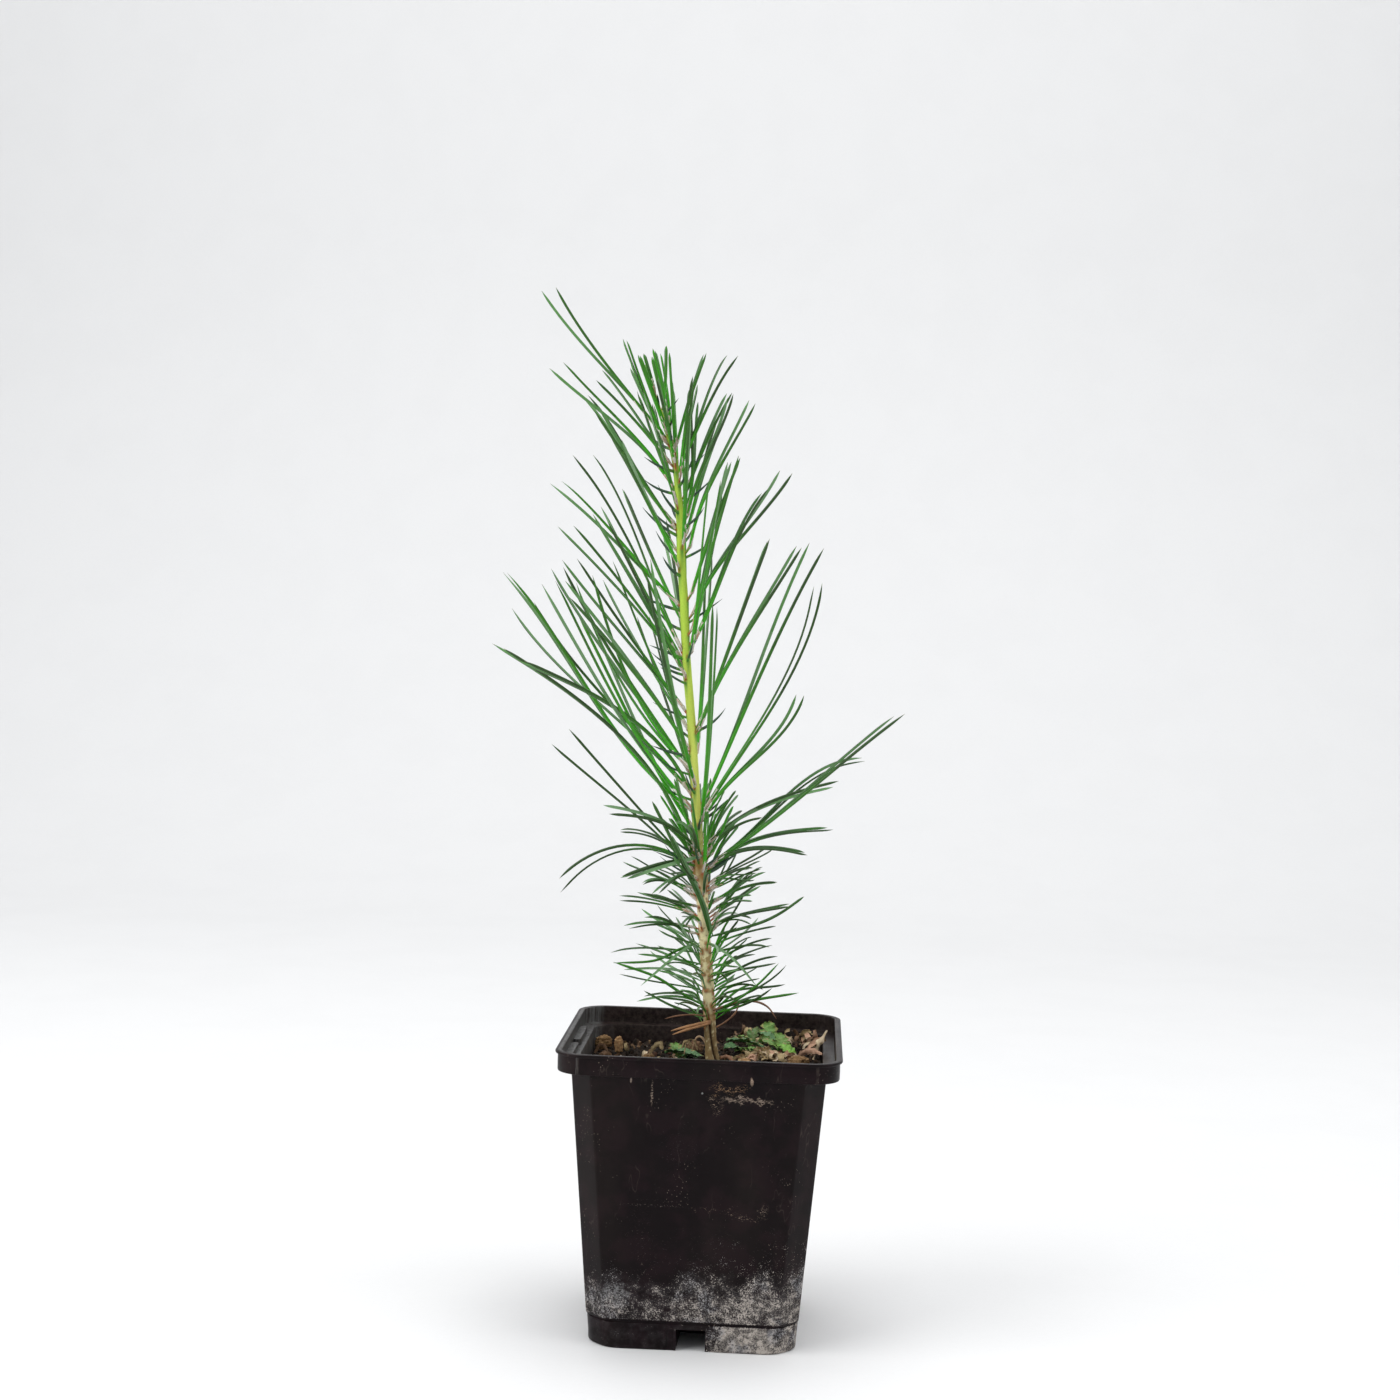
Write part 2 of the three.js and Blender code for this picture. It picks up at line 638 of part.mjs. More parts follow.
function markedBundle(mark, zone, index) {
  const random = seeded(SEEDS.marked + index);
  return {
    sway: MARKED_SPREAD.sway * (random() - 0.5),
    fork: MARKED_SPREAD.fork,
    forkTurn: MARKED_SPREAD.forkTurn * random(),
    twin: lerp(...MARKED_SPREAD.twin, random()),
    needles: zone.needles,
    sheath: zone.sheath,
    random,
    ...mark,
  };
}

// The points of one needle's middle line, from the trunk's side to its tip.
function route(bundle, side) {
  const { along, outward, sideways } = frameAt(bundle.at, bundle.turn);
  const length = bundle.length * (side > 0 ? bundle.twin : 1);
  const points = [besideTrunk(bundle.at, bundle.turn, CLEAR + SHEATH.knee + SHEATH.off)];
  const [root, middle, tip] = bundle.lift;
  for (let i = 0; i < ROUTE_STEPS; i++) {
    const t = (i + 0.5) / ROUTE_STEPS;
    const spread = t * length > bundle.sheath - SHEATH.sunk ? (side * bundle.fork) / 2 : 0;
    const lift = radians(
      root * (1 - t) * (1 - 2 * t) + 4 * middle * t * (1 - t) + tip * t * (2 * t - 1) +
        spread * Math.cos(radians(bundle.forkTurn)),
    );
    const swing = radians(bundle.sway * t * t + spread * Math.sin(radians(bundle.forkTurn)));
    const step = length / ROUTE_STEPS;
    points.push(
      points[i]
        .clone()
        .addScaledVector(outward, step * Math.cos(lift) * Math.cos(swing))
        .addScaledVector(sideways, step * Math.cos(lift) * Math.sin(swing))
        .addScaledVector(along, step * Math.sin(lift)),
    );
  }
  return { points, length };
}

function pointOn({ points }, share) {
  const place = share * ROUTE_STEPS;
  const i = Math.min(Math.floor(place), ROUTE_STEPS - 1);
  return points[i].clone().lerp(points[i + 1], place - i);
}

// The tubes of a bundle: the first needle grows from the mass's stem through the sheath, and its
// twin is sunk in that sheath.
function bundleTubes(bundle, zone, sector) {
  const kind = zone.name.includes("brush") ? "short" : "long";
  const root = onStem(massStem(zone, sector), bundle.at - TWIG.drop);
  const sides = bundle.needles === 1 ? [0] : [-1, 1];
  return sides.map((side) => {
    const path = route(bundle, side);
    const isFirst = side === sides[0];
    const start = isFirst ? bundle.sheath : bundle.sheath - SHEATH.sunk;
    const shares = [0, ...NEEDLE_RINGS[kind], 1].map((t) => lerp(start / path.length, 1, t));
    const points = shares.map((share) => pointOn(path, share));
    const radii = [...NEEDLE_TAPER[kind].map((taper) => taper * zone.radius), 0];
    if (!isFirst) radii[0] = SHEATH.core;
    else if (bundle.sheath > 0) {
      radii[0] = SHEATH.mouth;
      points.unshift(path.points[0]);
      radii.unshift(SHEATH.knee);
    }
    if (isFirst) {
      points.unshift(root);
      radii.unshift(TWIG.radius);
    }
    return { points, radii, sides: NEEDLE_SIDES };
  });
}

function tubeSegments({ points, radii }, mass) {
  return points.slice(1).map((end, i) => ({
    start: points[i],
    end,
    radii: [radii[i], radii[i + 1]],
    mass,
  }));
}

// The gap between two tapering segments where their middle lines pass closest.
function segmentGap(a, b) {
  const [u, v] = [a.end.clone().sub(a.start), b.end.clone().sub(b.start)];
  const w = a.start.clone().sub(b.start);
  const [uu, uv, vv, uw, vw] = [u.dot(u), u.dot(v), v.dot(v), u.dot(w), v.dot(w)];
  const clamp = (x) => Math.min(Math.max(x, 0), 1);
  const spread = uu * vv - uv * uv;
  let s = spread > 1e-9 ? clamp((uv * vw - vv * uw) / spread) : 0;
  const t = clamp((uv * s + vw) / vv);
  s = clamp((uv * t - uw) / uu);
  const apart = w.addScaledVector(u, s).addScaledVector(v, -t).length();
  return apart - lerp(...a.radii, s) - lerp(...b.radii, t);
}

const trunkSegments = [];
for (let z = TRUNK[0][0]; z < TRUNK.at(-1)[0]; z += TRUNK_STRETCH)
  trunkSegments.push({
    start: axisAt(z),
    end: axisAt(z + TRUNK_STRETCH),
    radii: [trunkRadius(z), trunkRadius(z + TRUNK_STRETCH)],
    mass: "",
  });

// True if the tubes keep clear of the trunk, the pot's mouth and every other mass.
function isFree(tubes, mass, placed) {
  const own = tubes.flatMap((piece) => tubeSegments(piece, mass));
  return own.every(
    (segment) =>
      segment.end.z > LOWEST_NEEDLE &&
      [...trunkSegments, ...placed].every(
        (other) => other.mass === mass || segmentGap(segment, other) > FREE,
      ),
  );
}

function sectorOf(turn) {
  return SECTORS[Math.floor((((turn + 45) % 360) + 360) % 360 / 90)];
}

// Tries a bundle where the rule puts it, then a little to the side, and skips it if none is free.
function settle(bundle, zone, placed) {
  for (let attempt = 0; attempt < TRIES; attempt++) {
    const shifted = { ...bundle, lift: bundle.lift.slice() };
    if (attempt > 0) {
      const reach = SHIFT.first + SHIFT.more * attempt;
      shifted.turn += reach * (2 * bundle.random() - 1);
      const tilt = SHIFT.tilt * reach * (2 * bundle.random() - 1);
      shifted.lift = shifted.lift.map((lift) => lift + tilt);
    }
    const sector = sectorOf(shifted.turn);
    const mass = zone.name + "_" + sector.name;
    const tubes = bundleTubes(shifted, zone, sector);
    if (isFree(tubes, mass, placed)) return { mass, tubes };
  }
  return null;
}

function massStem(zone, sector) {
  const [bottom, top] = [zone.from + STEM_END, zone.to - STEM_END];
  const steps = Math.max(2, Math.ceil((top - bottom) / STEM.step));
  const heights = Array.from({ length: steps + 1 }, (_, i) => lerp(bottom, top, i / steps));
  return {
    points: heights.map((z) => besideTrunk(z, sector.middle, CLEAR + STEM.radius)),
    radii: heights.map(() => STEM.radius),
    sides: STEM.sides,
  };
}

function onStem({ points }, z) {
  const i = Math.max(1, points.findIndex((point) => point.z >= z));
  const [low, high] = [points[i - 1], points[i]];
  return low.clone().lerp(high, (z - low.z) / (high.z - low.z));
}

function turnBetween(a, b) {
  return Math.abs(((a - b + 540) % 360) - 180);
}

function foliage() {
  const masses = new Map();
  const placed = [];
  const keep = (mass, tubes) => {
    masses.get(mass).push(...tubes);
    placed.push(...tubes.flatMap((piece) => tubeSegments(piece, mass)));
  };
  for (const zone of ZONES)
    for (const sector of SECTORS) {
      const mass = zone.name + "_" + sector.name;
      masses.set(mass, []);
      keep(mass, [massStem(zone, sector)]);
    }
  const zoneAt = (z) => ZONES.find((zone) => z < zone.to);
  MARKED.forEach((mark, index) => {
    const zone = zoneAt(mark.at);
    const found = settle(markedBundle(mark, zone, index), zone, placed);
    if (found) keep(found.mass, found.tubes);
  });
  let turn = 0;
  for (const zone of ZONES)
    for (let index = 0; index < zone.count; index++) {
      turn = (turn + GOLDEN_ANGLE) % 360;
      const bundle = ruleBundle(zone, index, turn);
      const isTaken = MARKED.some(
        (mark) =>
          turnBetween(mark.turn, bundle.turn) < TAKEN.turn &&
          Math.abs(mark.at - bundle.at) < TAKEN.height,
      );
      const isOpenSky =
        turnBetween(OPEN_SKY.turn, bundle.turn) < OPEN_SKY.spread &&
        bundle.at > OPEN_SKY.from &&
        bundle.at < OPEN_SKY.to;
      const found = isTaken || isOpenSky ? null : settle(bundle, zone, placed);
      if (found) keep(found.mass, found.tubes);
    }
  return masses;
}

// One mass of needles, joined. Taking the outer body fills any hollow that the joining seals.
function massSolid(tubes) {
  const pieces = tubes.map(({ points, radii, sides }) => solidOf(tube(points, radii, sides)));
  return largest(union(pieces)).simplify(FINISH);
}

// The assembly

const plant = new THREE.Group();
plant.add(meshOf("trunk", trunk(), COLOURS.bark));
plant.add(meshOf("terminal_bud", terminalBud(), COLOURS.bud));
for (const [mass, tubes] of foliage()) {
  const isShort = mass.includes("brush");
  plant.add(meshOf(mass, massSolid(tubes), isShort ? COLOURS.shortNeedle : COLOURS.longNeedle));
}

const potted = new THREE.Group();
potted.add(meshOf("pot", pot(), COLOURS.pot));
potted.add(meshOf("soil", soil(), COLOURS.soil));
CHIPS.forEach((place, i) => {
  potted.add(meshOf("bark_chip_" + (i + 1), chip(place, i), COLOURS.chip));
});
COVER.forEach((place, i) => {
  const isMoss = place.name.startsWith("moss");
  potted.add(meshOf(place.name, cover(place, i), isMoss ? COLOURS.moss : COLOURS.litter));
});

const part = new THREE.Group();
part.add(potted, plant);

export default part;
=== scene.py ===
"""Builds the looks of a young black pine in its square nursery pot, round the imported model."""
import math

import bmesh
import bpy
import numpy as np
from bpy.props import FloatProperty, FloatVectorProperty, IntProperty, PointerProperty
from mathutils import Matrix, Vector, noise


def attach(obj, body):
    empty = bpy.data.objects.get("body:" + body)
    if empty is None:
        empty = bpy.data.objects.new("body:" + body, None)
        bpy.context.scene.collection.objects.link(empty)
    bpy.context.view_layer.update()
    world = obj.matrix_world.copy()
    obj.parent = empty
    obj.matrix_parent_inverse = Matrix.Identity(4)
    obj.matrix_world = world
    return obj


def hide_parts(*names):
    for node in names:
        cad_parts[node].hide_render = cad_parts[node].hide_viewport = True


bl_info = {
    "name": "Potted pine seedling",
    "version": (1, 0, 0),
    "blender": (4, 5, 0),
    "location": "View3D > Sidebar > Pine",
    "description": "Dresses the packed pine seedling with needles, bark, soil and a worn pot",
    "category": "Add Mesh",
}

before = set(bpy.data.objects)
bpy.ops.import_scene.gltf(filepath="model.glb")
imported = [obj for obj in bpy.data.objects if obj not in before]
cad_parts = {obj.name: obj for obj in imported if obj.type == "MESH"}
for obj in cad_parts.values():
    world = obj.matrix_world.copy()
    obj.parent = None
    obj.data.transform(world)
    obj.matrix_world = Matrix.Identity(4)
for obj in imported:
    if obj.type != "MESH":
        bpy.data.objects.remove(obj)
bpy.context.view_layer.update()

MM = 0.001  # all the sizes below are in millimetres
BODY = "root"
CLEAR = 0.3
SOIL_LEVEL = 85

# The trunk's height, x, y and radius, from the flat cut on the soil to the tip.
TRUNK = np.array([
    [SOIL_LEVEL + CLEAR, 3.9, 0.0, 3.4],
    [88, 3.4, 0.1, 2.75],
    [94, 2.4, 0.3, 2.35],
    [106, 1.1, 0.4, 2.25],
    [122, -0.2, 0.2, 2.3],
    [142, -1.9, 0.0, 2.45],
    [151, -2.6, 0.0, 2.6],
    [162, -3.4, -0.2, 2.25],
    [200, -7.0, -0.4, 2.05],
    [240, -10.9, 0.2, 1.7],
    [270, -13.6, 0.5, 1.45],
    [286, -16.4, 0.3, 1.25],
    [297, -20.6, 0.1, 1.05],
    [306, -23.8, 0.0, 0.85],
])
LEAN_SPAN = 4  # the trunk's direction is taken over this much each way

# The bark's height, radius and shift in x: the real trunk is slimmer than the model's and turns a
# little at each of its nodes.
BARK = np.array([
    [SOIL_LEVEL + CLEAR, 2.5, -0.4],
    [88, 2.05, -0.7],
    [94, 1.9, -0.4],
    [106, 1.92, 0.1],
    [122, 1.88, -0.2],
    [143, 1.76, -0.45],
    [151, 1.58, -0.7],
    [157, 1.48, -0.85],
    [187, 1.38, -0.7],
    [197, 1.38, -0.6],
    [220, 1.34, -0.95],
    [236, 1.4, -0.4],
    [248, 1.36, -0.55],
    [268, 1.14, -0.3],
    [281, 0.92, 0.0],
    [306, 0.68, 0.0],
])

SECTORS = {"right": 0, "back": 90, "left": 180, "front": 270}
GOLDEN_ANGLE = 137.508
ZONES = (
    {"name": "juvenile_brush", "from": 98, "to": 127, "count": 44, "seed": 11, "length": (25, 27),
     "lift": (20, 13, 6), "vary": 13, "needles": 1, "sheath": 0, "radius": 0.5},
    {"name": "short_brush", "from": 127, "to": 148, "count": 20, "seed": 23, "length": (26, 30),
     "lift": (26, 18, 10), "vary": 11, "needles": 2, "sheath": 6, "radius": 0.55},
    {"name": "whorl", "from": 148, "to": 160, "count": 12, "seed": 37, "length": (34, 46),
     "lift": (42, 24, 8), "vary": 9, "needles": 2, "sheath": 7, "radius": 0.66},
    {"name": "long_low", "from": 160, "to": 200, "count": 15, "seed": 41, "length": (88, 68),
     "lift": (54, 57, 58), "vary": 6, "needles": 2, "sheath": 8, "radius": 0.7},
    {"name": "long_middle", "from": 200, "to": 245, "count": 17, "seed": 53, "length": (67, 54),
     "lift": (55, 57, 57), "vary": 6, "needles": 2, "sheath": 8, "radius": 0.68},
    {"name": "long_high", "from": 245, "to": 287, "count": 15, "seed": 67, "length": (53, 34),
     "lift": (58, 60, 58), "vary": 6, "needles": 2, "sheath": 8, "radius": 0.64},
    {"name": "crown_tuft", "from": 287, "to": 305, "count": 10, "seed": 79, "length": (30, 15),
     "lift": (66, 75, 80), "vary": 6, "needles": 2, "sheath": 7, "radius": 0.6},
)
STEM_END = 0.8  # how far a mass's stem stops short of its zone's ends

ONE = {"needles": 1}
# The bundles that draw the plant's outline, as height on the trunk, azimuth, length and the three
# lifts, with a fork, a sheath or the number of needles where these differ from their zone's
MARKED = (
    (292, 176, 60, (72, 70, 80), {"fork": 5, "sheath": 15}),
    (275, 188, 54, (64, 49, 53), {"fork": 7}),
    (262, 165, 54, (48, 62, 48), {"fork": 4}),
    (236, 172, 58, (46, 50, 42), {"fork": 4}),
    (222, 199, 71, (66, 69, 54), {"fork": 5}),
    (216, 188, 60, (58, 54, 50), {"fork": 4}),
    (202, 184, 62, (55, 56, 59), {"fork": 4}),
    (183, 205, 71, (46, 65, 75), {"fork": 5}),
    (175, 164, 86, (52, 46, 62), {"fork": 5}),
    (169, 172, 100, (38, 60, 50), ONE),
    (176, 194, 71, (70, 37, 28), ONE),
    (156, 184, 95, (76, 46, 34), ONE),
    (150, 192, 61, (50, 47, 48), {"fork": 7}),
    (150, 177, 50, (44, -9, -47), {"fork": 6}),
    (151, 162, 28, (46, 24, -5), ONE),
    (152, 214, 27, (10, -8, -13), ONE),
    (281, 8, 39, (54, 58, 44), {"fork": 8}),
    (264, 340, 42, (76, 60, 70), {"fork": 4}),
    (254, 350, 51, (78, 60, 60), {"fork": 5}),
    (233, 352, 55, (66, 48, 56), {"fork": 5}),
    (224, 335, 55, (56, 62, 44), ONE),
    (198, 344, 65, (63, 54, 55), {"fork": 4}),
    (196, 324, 67, (60, 61, 60), ONE),
    (173, 8, 89, (62, 64, 58), {"fork": 5}),
    (170, 350, 82, (55, 56, 79), ONE),
    (168, 338, 52, (55, 39, 68), {"fork": 4}),
    (151, 352, 80, (31, 38, 35), ONE),
    (151, 12, 62, (26, 40, -3), ONE),
    (150, 24, 46, (38, 8, -2), ONE),
    (150, 340, 35, (40, 4, -13), ONE),
    (154, 328, 26, (58, 34, 12), {"fork": 9}),
)
# Growth too fine for the model, by the same rule: young needles and short pairs among the others,
# each kept shorter than its mass.
FINE_GROWTH = (
    {"name": "juvenile_brush", "from": 97, "to": 127, "count": 34, "seed": 101, "length": (14, 20),
     "lift": (46, 34, 18), "vary": 30, "needles": 1, "sheath": 0, "radius": 0.5},
    {"name": "short_brush", "from": 125, "to": 149, "count": 18, "seed": 103, "length": (17, 24),
     "lift": (34, 20, 4), "vary": 26, "needles": 2, "sheath": 4, "radius": 0.52},
    {"name": "whorl", "from": 148, "to": 161, "count": 13, "seed": 107, "length": (17, 24),
     "lift": (66, 62, 58), "vary": 14, "needles": 2, "sheath": 4, "radius": 0.54},
    {"name": "long_high", "from": 262, "to": 287, "count": 3, "seed": 109, "length": (40, 30),
     "lift": (74, 78, 76), "vary": 7, "needles": 2, "sheath": 7, "radius": 0.6},
)
# Pairs that fan out round the tip of the shoot and at its right, written as in MARKED, and the zone
# of those at the tip
CROWN_FAN = (
    (287, 335, 31, (56, 53, 50), {"fork": 3}),
    (286, 302, 31, (68, 68, 66), {"fork": 3}),
    (289, 288, 27, (72, 73, 72), {"fork": 4}),
    (289, 214, 35, (82, 86, 88), {"fork": 2}),
    (279, 318, 27, (66, 68, 72), {"fork": 4}),
    (228, 322, 58, (70, 68, 66), {"fork": 4}),
    (239, 332, 47, (66, 65, 62), {"fork": 5}),
)
FAN_ZONE = {"name": "crown_tuft", "from": 282, "to": 302, "needles": 2, "sheath": 5, "radius": 0.58}
FAN_FROM = 277
# The rule's bundles are left out as near as this to a marked one, and where the right side is open
TAKEN = {"turn": 30, "height": 5}
OPEN_SKY = {"turn": 0, "spread": 62, "from": 162, "to": 245}
# Where the photograph shows the shoot itself, or sky round its tip, the few needles are left out
BARE = (
    {"turn": 267, "spread": 3, "from": 165, "to": 250},
    {"turn": 270, "spread": 13, "from": 98, "to": 140},
    {"turn": 165, "spread": 72, "from": 296, "to": 303},
)
OVERLAP = -2  # how far the fan at the tip may run into its neighbours, in the looks only
# The model's own solids: the stem that holds a mass, the twig to a bundle, and the bundle's sheath
STEM = {"radius": 0.6, "step": 9}
TWIG = {"radius": 0.45, "drop": 0.2}
SHEATH = {"knee": 0.62, "mouth": 0.84, "core": 0.4, "sunk": 2.5, "off": 0.1}
# How a needle is led on to the bark: the steepest start in degrees, and how far down and in it goes
ROOT = {"steepest": 66, "drop": 0.5, "spare": 0.8, "sunk": -0.25}
SHOOT_FROM = 148  # the long pairs of the year's shoot stand above this
LATE_FORK = 1.33  # how much wider a real pair ends than the model's
NEEDLE_RINGS = {"short": (0.5,), "long": (0.34, 0.7)}
NEEDLE_TAPER = {"short": (1, 0.95), "long": (0.9, 1, 0.85)}
ROUTE_STEPS = 24
# How a bundle finds room: the least gap and height, and how far it shifts at each further try
FREE = 0.16
LOWEST_NEEDLE = 97.5
TRIES = 12
SHIFT = {"first": 1.5, "more": 0.9, "tilt": 0.8}
TRUNK_STRETCH = 3
# How far the rule's bundles vary from their zone, and the marked ones from what is written
SPREAD = {
    "height": 0.5, "turn": 12, "length": (0.88, 1.06), "sway": 14, "fork": (3, 7.5),
    "fork_turn": 180, "twin": (0.93, 1), "sheath": (0.9, 1.1),
}
MARKED_SPREAD = {"sway": 8, "fork": 4, "fork_turn": 60, "twin": (0.94, 1)}
# How far a short needle may stray from the rule's line: degrees of sway and of bend, and its length
STRAY = {"sway": 44, "bend": 36, "length": (0.82, 1.05)}
SEEDS = {"zone": 1000, "marked": 500000, "needle": 7000, "stray": 9000, "soil": 31, "litter": 57}

POT = {
    "height": 95, "rim_half": 45, "rim_corner": 10, "band_height": 6.5, "band_wall": 1.3,
    "lip_height": 0.9, "lip_out": 0.8, "shoulder_half": 40.1, "foot_half": 33.1,
    "corner_cut": 6.6, "wall": 1.2, "floor": 1.5, "foot_bevel": 0.7,
}
FOOT_LEDGE = 9.0
FOOT_POCKET = {"from": 5.4, "to": 7.8, "height": 6.8, "depth": 0.6}
FOOT_GROOVE = {"from": 25.9, "to": 26.6, "height": 7.2, "depth": 0.4}
CHANNEL = {"mouth_half": 4.65, "inner_half": 4.2, "height": 7, "depth": 19, "wall": 1.2}
DRAIN = {"half": 3, "from": 19.5, "to": 28}
LABEL_SLOT = {"length": 24, "width": 2.4, "depth": 0.8, "middles": (-19, 10)}
SOIL_FORMS = ((-20, 20, 12, -2.6), (22, 16, 14, 1.8), (24, -22, 12, 0.9))
SOIL = {"tilt": 1.8, "lump": 0.55, "flat": 7, "fade": 7}

# x, y, sizes, turn and tone of each chip of bark
CHIPS = (
    (-35.2, 24.5, (3.1, 2.4, 2.5), 30, 1),
    (-29.9, 23, (1.7, 1.4, 3.1), 80, 2),
    (-33, 8, (2.9, 2.2, 1.9), 120, 0),
    (-18.5, 5, (2.6, 2.0, 1.8), 60, 1),
    (-4, 21, (3.3, 2.6, 2.4), 10, 0),
    (31, -6, (4.0, 2.6, 2.0), 160, 1),
    (14, -7, (3.4, 2.2, 1.7), 95, 2),
)
CLODS = 2  # the first chips are rounder, and stand higher

# The larger green leaves: x, y, height over the soil, half length, width as a share of it, tilt
# towards the front, turn, and which green
LEAVES = {
    "moss_patch_left": (
        (-6.6, 8.0, 2.0, 6.4, 0.42, 8, 84, 3), (-9.4, 10.4, 2.6, 4.2, 0.6, 30, 20, 1),
        (-4.2, 6.4, 1.2, 3.6, 0.5, 14, 118, 3),
    ),
    "moss_patch_right": (
        (14.6, 15.5, 2.6, 7.6, 0.36, 14, 97, 3), (22.0, 13.0, 2.2, 5.0, 0.52, 20, 64, 1),
        (10.0, 12.0, 1.9, 4.6, 0.5, 12, 130, 3), (16.5, 9.0, 1.5, 4.8, 0.42, 10, 84, 1),
        (25.2, 15.6, 2.6, 4.0, 0.66, 38, 24, 1), (26.6, 9.0, 1.6, 3.6, 0.7, 22, 60, 2),
    ),
    "moss_patch_back": (
        (20.6, 26.6, 3.4, 5.2, 0.58, 56, 12, 1), (15.4, 27.0, 3.0, 4.2, 0.55, 48, -28, 0),
        (21.5, 22.4, 2.6, 4.4, 0.5, 24, 74, 3), (14.2, 23.4, 2.4, 4.0, 0.5, 30, 100, 1),
    ),
}

# The camera, fitted to the pot's rim, foot and corners
CAMERA = {
    "place": (31.8, -746.1, 235.0), "down": 2.359, "yaw": -2.807, "roll": 1.767, "lens": 58.97,
    "sensor": 36,
}


# Numbers and directions


def lerp(a, b, t):
    return a + (b - a) * t


def smooth(value, low, high):
    t = np.clip((value - low) / (high - low), 0, 1)
    return t * t * (3 - 2 * t)


def unit(vectors):
    return vectors / np.linalg.norm(vectors, axis=-1, keepdims=True)


def seeded(seed):
    """A source of even draws from 0 to 1 that a seed fixes, the same as in the model's source."""
    word = 0xFFFFFFFF
    state = seed & word

    def draw():
        nonlocal state
        state = (state + 0x6D2B79F5) & word
        t = state
        t = ((t ^ (t >> 15)) * (t | 1)) & word
        t ^= (t + (((t ^ (t >> 7)) * (t | 61)) & word)) & word
        return ((t ^ (t >> 14)) & word) / 4294967296

    return draw


def relief(points, size, octaves=3, shift=0.0):
    """Smooth noise from about -1 to 1 at points, with features of a size in millimetres."""
    values = [
        noise.fractal(Vector((x / size + shift, y / size, z / size)), 0.8, 2.1, octaves)
        for x, y, z in np.asarray(points).reshape(-1, 3)
    ]
    return np.array(values).reshape(np.shape(points)[:-1])


# The trunk's line, as in the model's source


def trunk_value(z, column):
    rows, values = TRUNK[:, 0], TRUNK[:, column]
    last = len(rows) - 1
    order = np.arange(last + 1)
    after, before = np.minimum(order + 1, last), np.maximum(order - 1, 0)
    slopes = (values[after] - values[before]) / (rows[after] - rows[before])
    z = np.clip(z, rows[0], rows[-1])
    i = np.clip(np.searchsorted(rows, z, side="left") - 1, 0, last - 1)
    span = rows[i + 1] - rows[i]
    t = (z - rows[i]) / span
    return (
        values[i] * (1 + 2 * t) * (1 - t) ** 2
        + values[i + 1] * t * t * (3 - 2 * t)
        + slopes[i] * span * t * (1 - t) ** 2
        - slopes[i + 1] * span * t * t * (1 - t)
    )


def axis_at(z):
    z = np.asarray(z, float)
    return np.stack([trunk_value(z, 1), trunk_value(z, 2), z], axis=-1)


def trunk_radius(z):
    return trunk_value(z, 3)


def along_at(z):
    high = np.minimum(np.asarray(z, float) + LEAN_SPAN, TRUNK[-1, 0])
    low = np.maximum(high - 2 * LEAN_SPAN, TRUNK[0, 0])
    return unit(axis_at(high) - axis_at(low))


def frame_at(z, azimuth):
    """The trunk's direction at a height, with the outward and sideways directions there."""
    along = along_at(z)
    angle = np.radians(azimuth)
    flat = np.stack([np.cos(angle), np.sin(angle), np.zeros_like(angle)], axis=-1)
    outward = unit(flat - (flat * along).sum(-1, keepdims=True) * along)
    return along, outward, np.cross(along, outward)


def beside_trunk(z, azimuth, gap):
    return axis_at(z) + frame_at(z, azimuth)[1] * (trunk_radius(z) + gap)


def bark_radius(z):
    return np.interp(z, BARK[:, 0], BARK[:, 1])


def bark_axis(z):
    place = axis_at(z)
    place[..., 0] += np.interp(z, BARK[:, 0], BARK[:, 2])
    return place


def beside_bark(z, azimuth, gap):
    return bark_axis(z) + frame_at(z, azimuth)[1] * (bark_radius(z) + gap)


def rooted(bundle, line):
    """A needle's line led on down to the bark, about the way that it starts."""
    reach = trunk_radius(bundle["at"]) - bark_radius(bundle["at"])
    slope = math.tan(math.radians(min(max(bundle["lift"][0], 0), ROOT["steepest"])))
    drop = ROOT["drop"] + (reach + ROOT["spare"]) * slope
    foot = beside_bark(bundle["at"] - drop, bundle["turn"], ROOT["sunk"])
    return np.vstack([foot, lerp(foot, line[0], 0.5), line])


# The rule that the needles grow by, as in the model's source


def rule_bundle(zone, index, turn):
    draw = seeded(SEEDS["zone"] * zone["seed"] + index)
    share = (index + 0.5) / zone["count"]

    def vary():
        return zone["vary"] * (2 * draw() - 1)

    bottom, top = zone["from"] + 2 * STEM_END, zone["to"] - 2 * STEM_END
    bend = vary()
    root, middle, tip = zone["lift"]
    return {
        "at": lerp(bottom, top, share) + SPREAD["height"] * (draw() - 0.5),
        "turn": turn + SPREAD["turn"] * (draw() - 0.5),
        "length": lerp(*zone["length"], share) * lerp(*SPREAD["length"], draw()),
        "lift": [root + vary(), middle + bend, tip + bend + vary()],
        "sway": SPREAD["sway"] * (draw() - 0.5),
        "fork": lerp(*SPREAD["fork"], draw()),
        "fork_turn": SPREAD["fork_turn"] * draw(),
        "twin": lerp(*SPREAD["twin"], draw()),
        "needles": zone["needles"],
        "sheath": zone["sheath"] * lerp(*SPREAD["sheath"], draw()),
        "draw": draw,
    }


def marked_bundle(mark, zone, index):
    at, turn, length, lift, own = mark
    draw = seeded(SEEDS["marked"] + index)
    made = {
        "at": at,
        "turn": turn,
        "length": length,
        "lift": list(lift),
        "sway": MARKED_SPREAD["sway"] * (draw() - 0.5),
        "fork": MARKED_SPREAD["fork"],
        "fork_turn": MARKED_SPREAD["fork_turn"] * draw(),
        "twin": lerp(*MARKED_SPREAD["twin"], draw()),
        "needles": zone["needles"],
        "sheath": zone["sheath"],
        "draw": draw,
    }
    made.update(own)
    return made


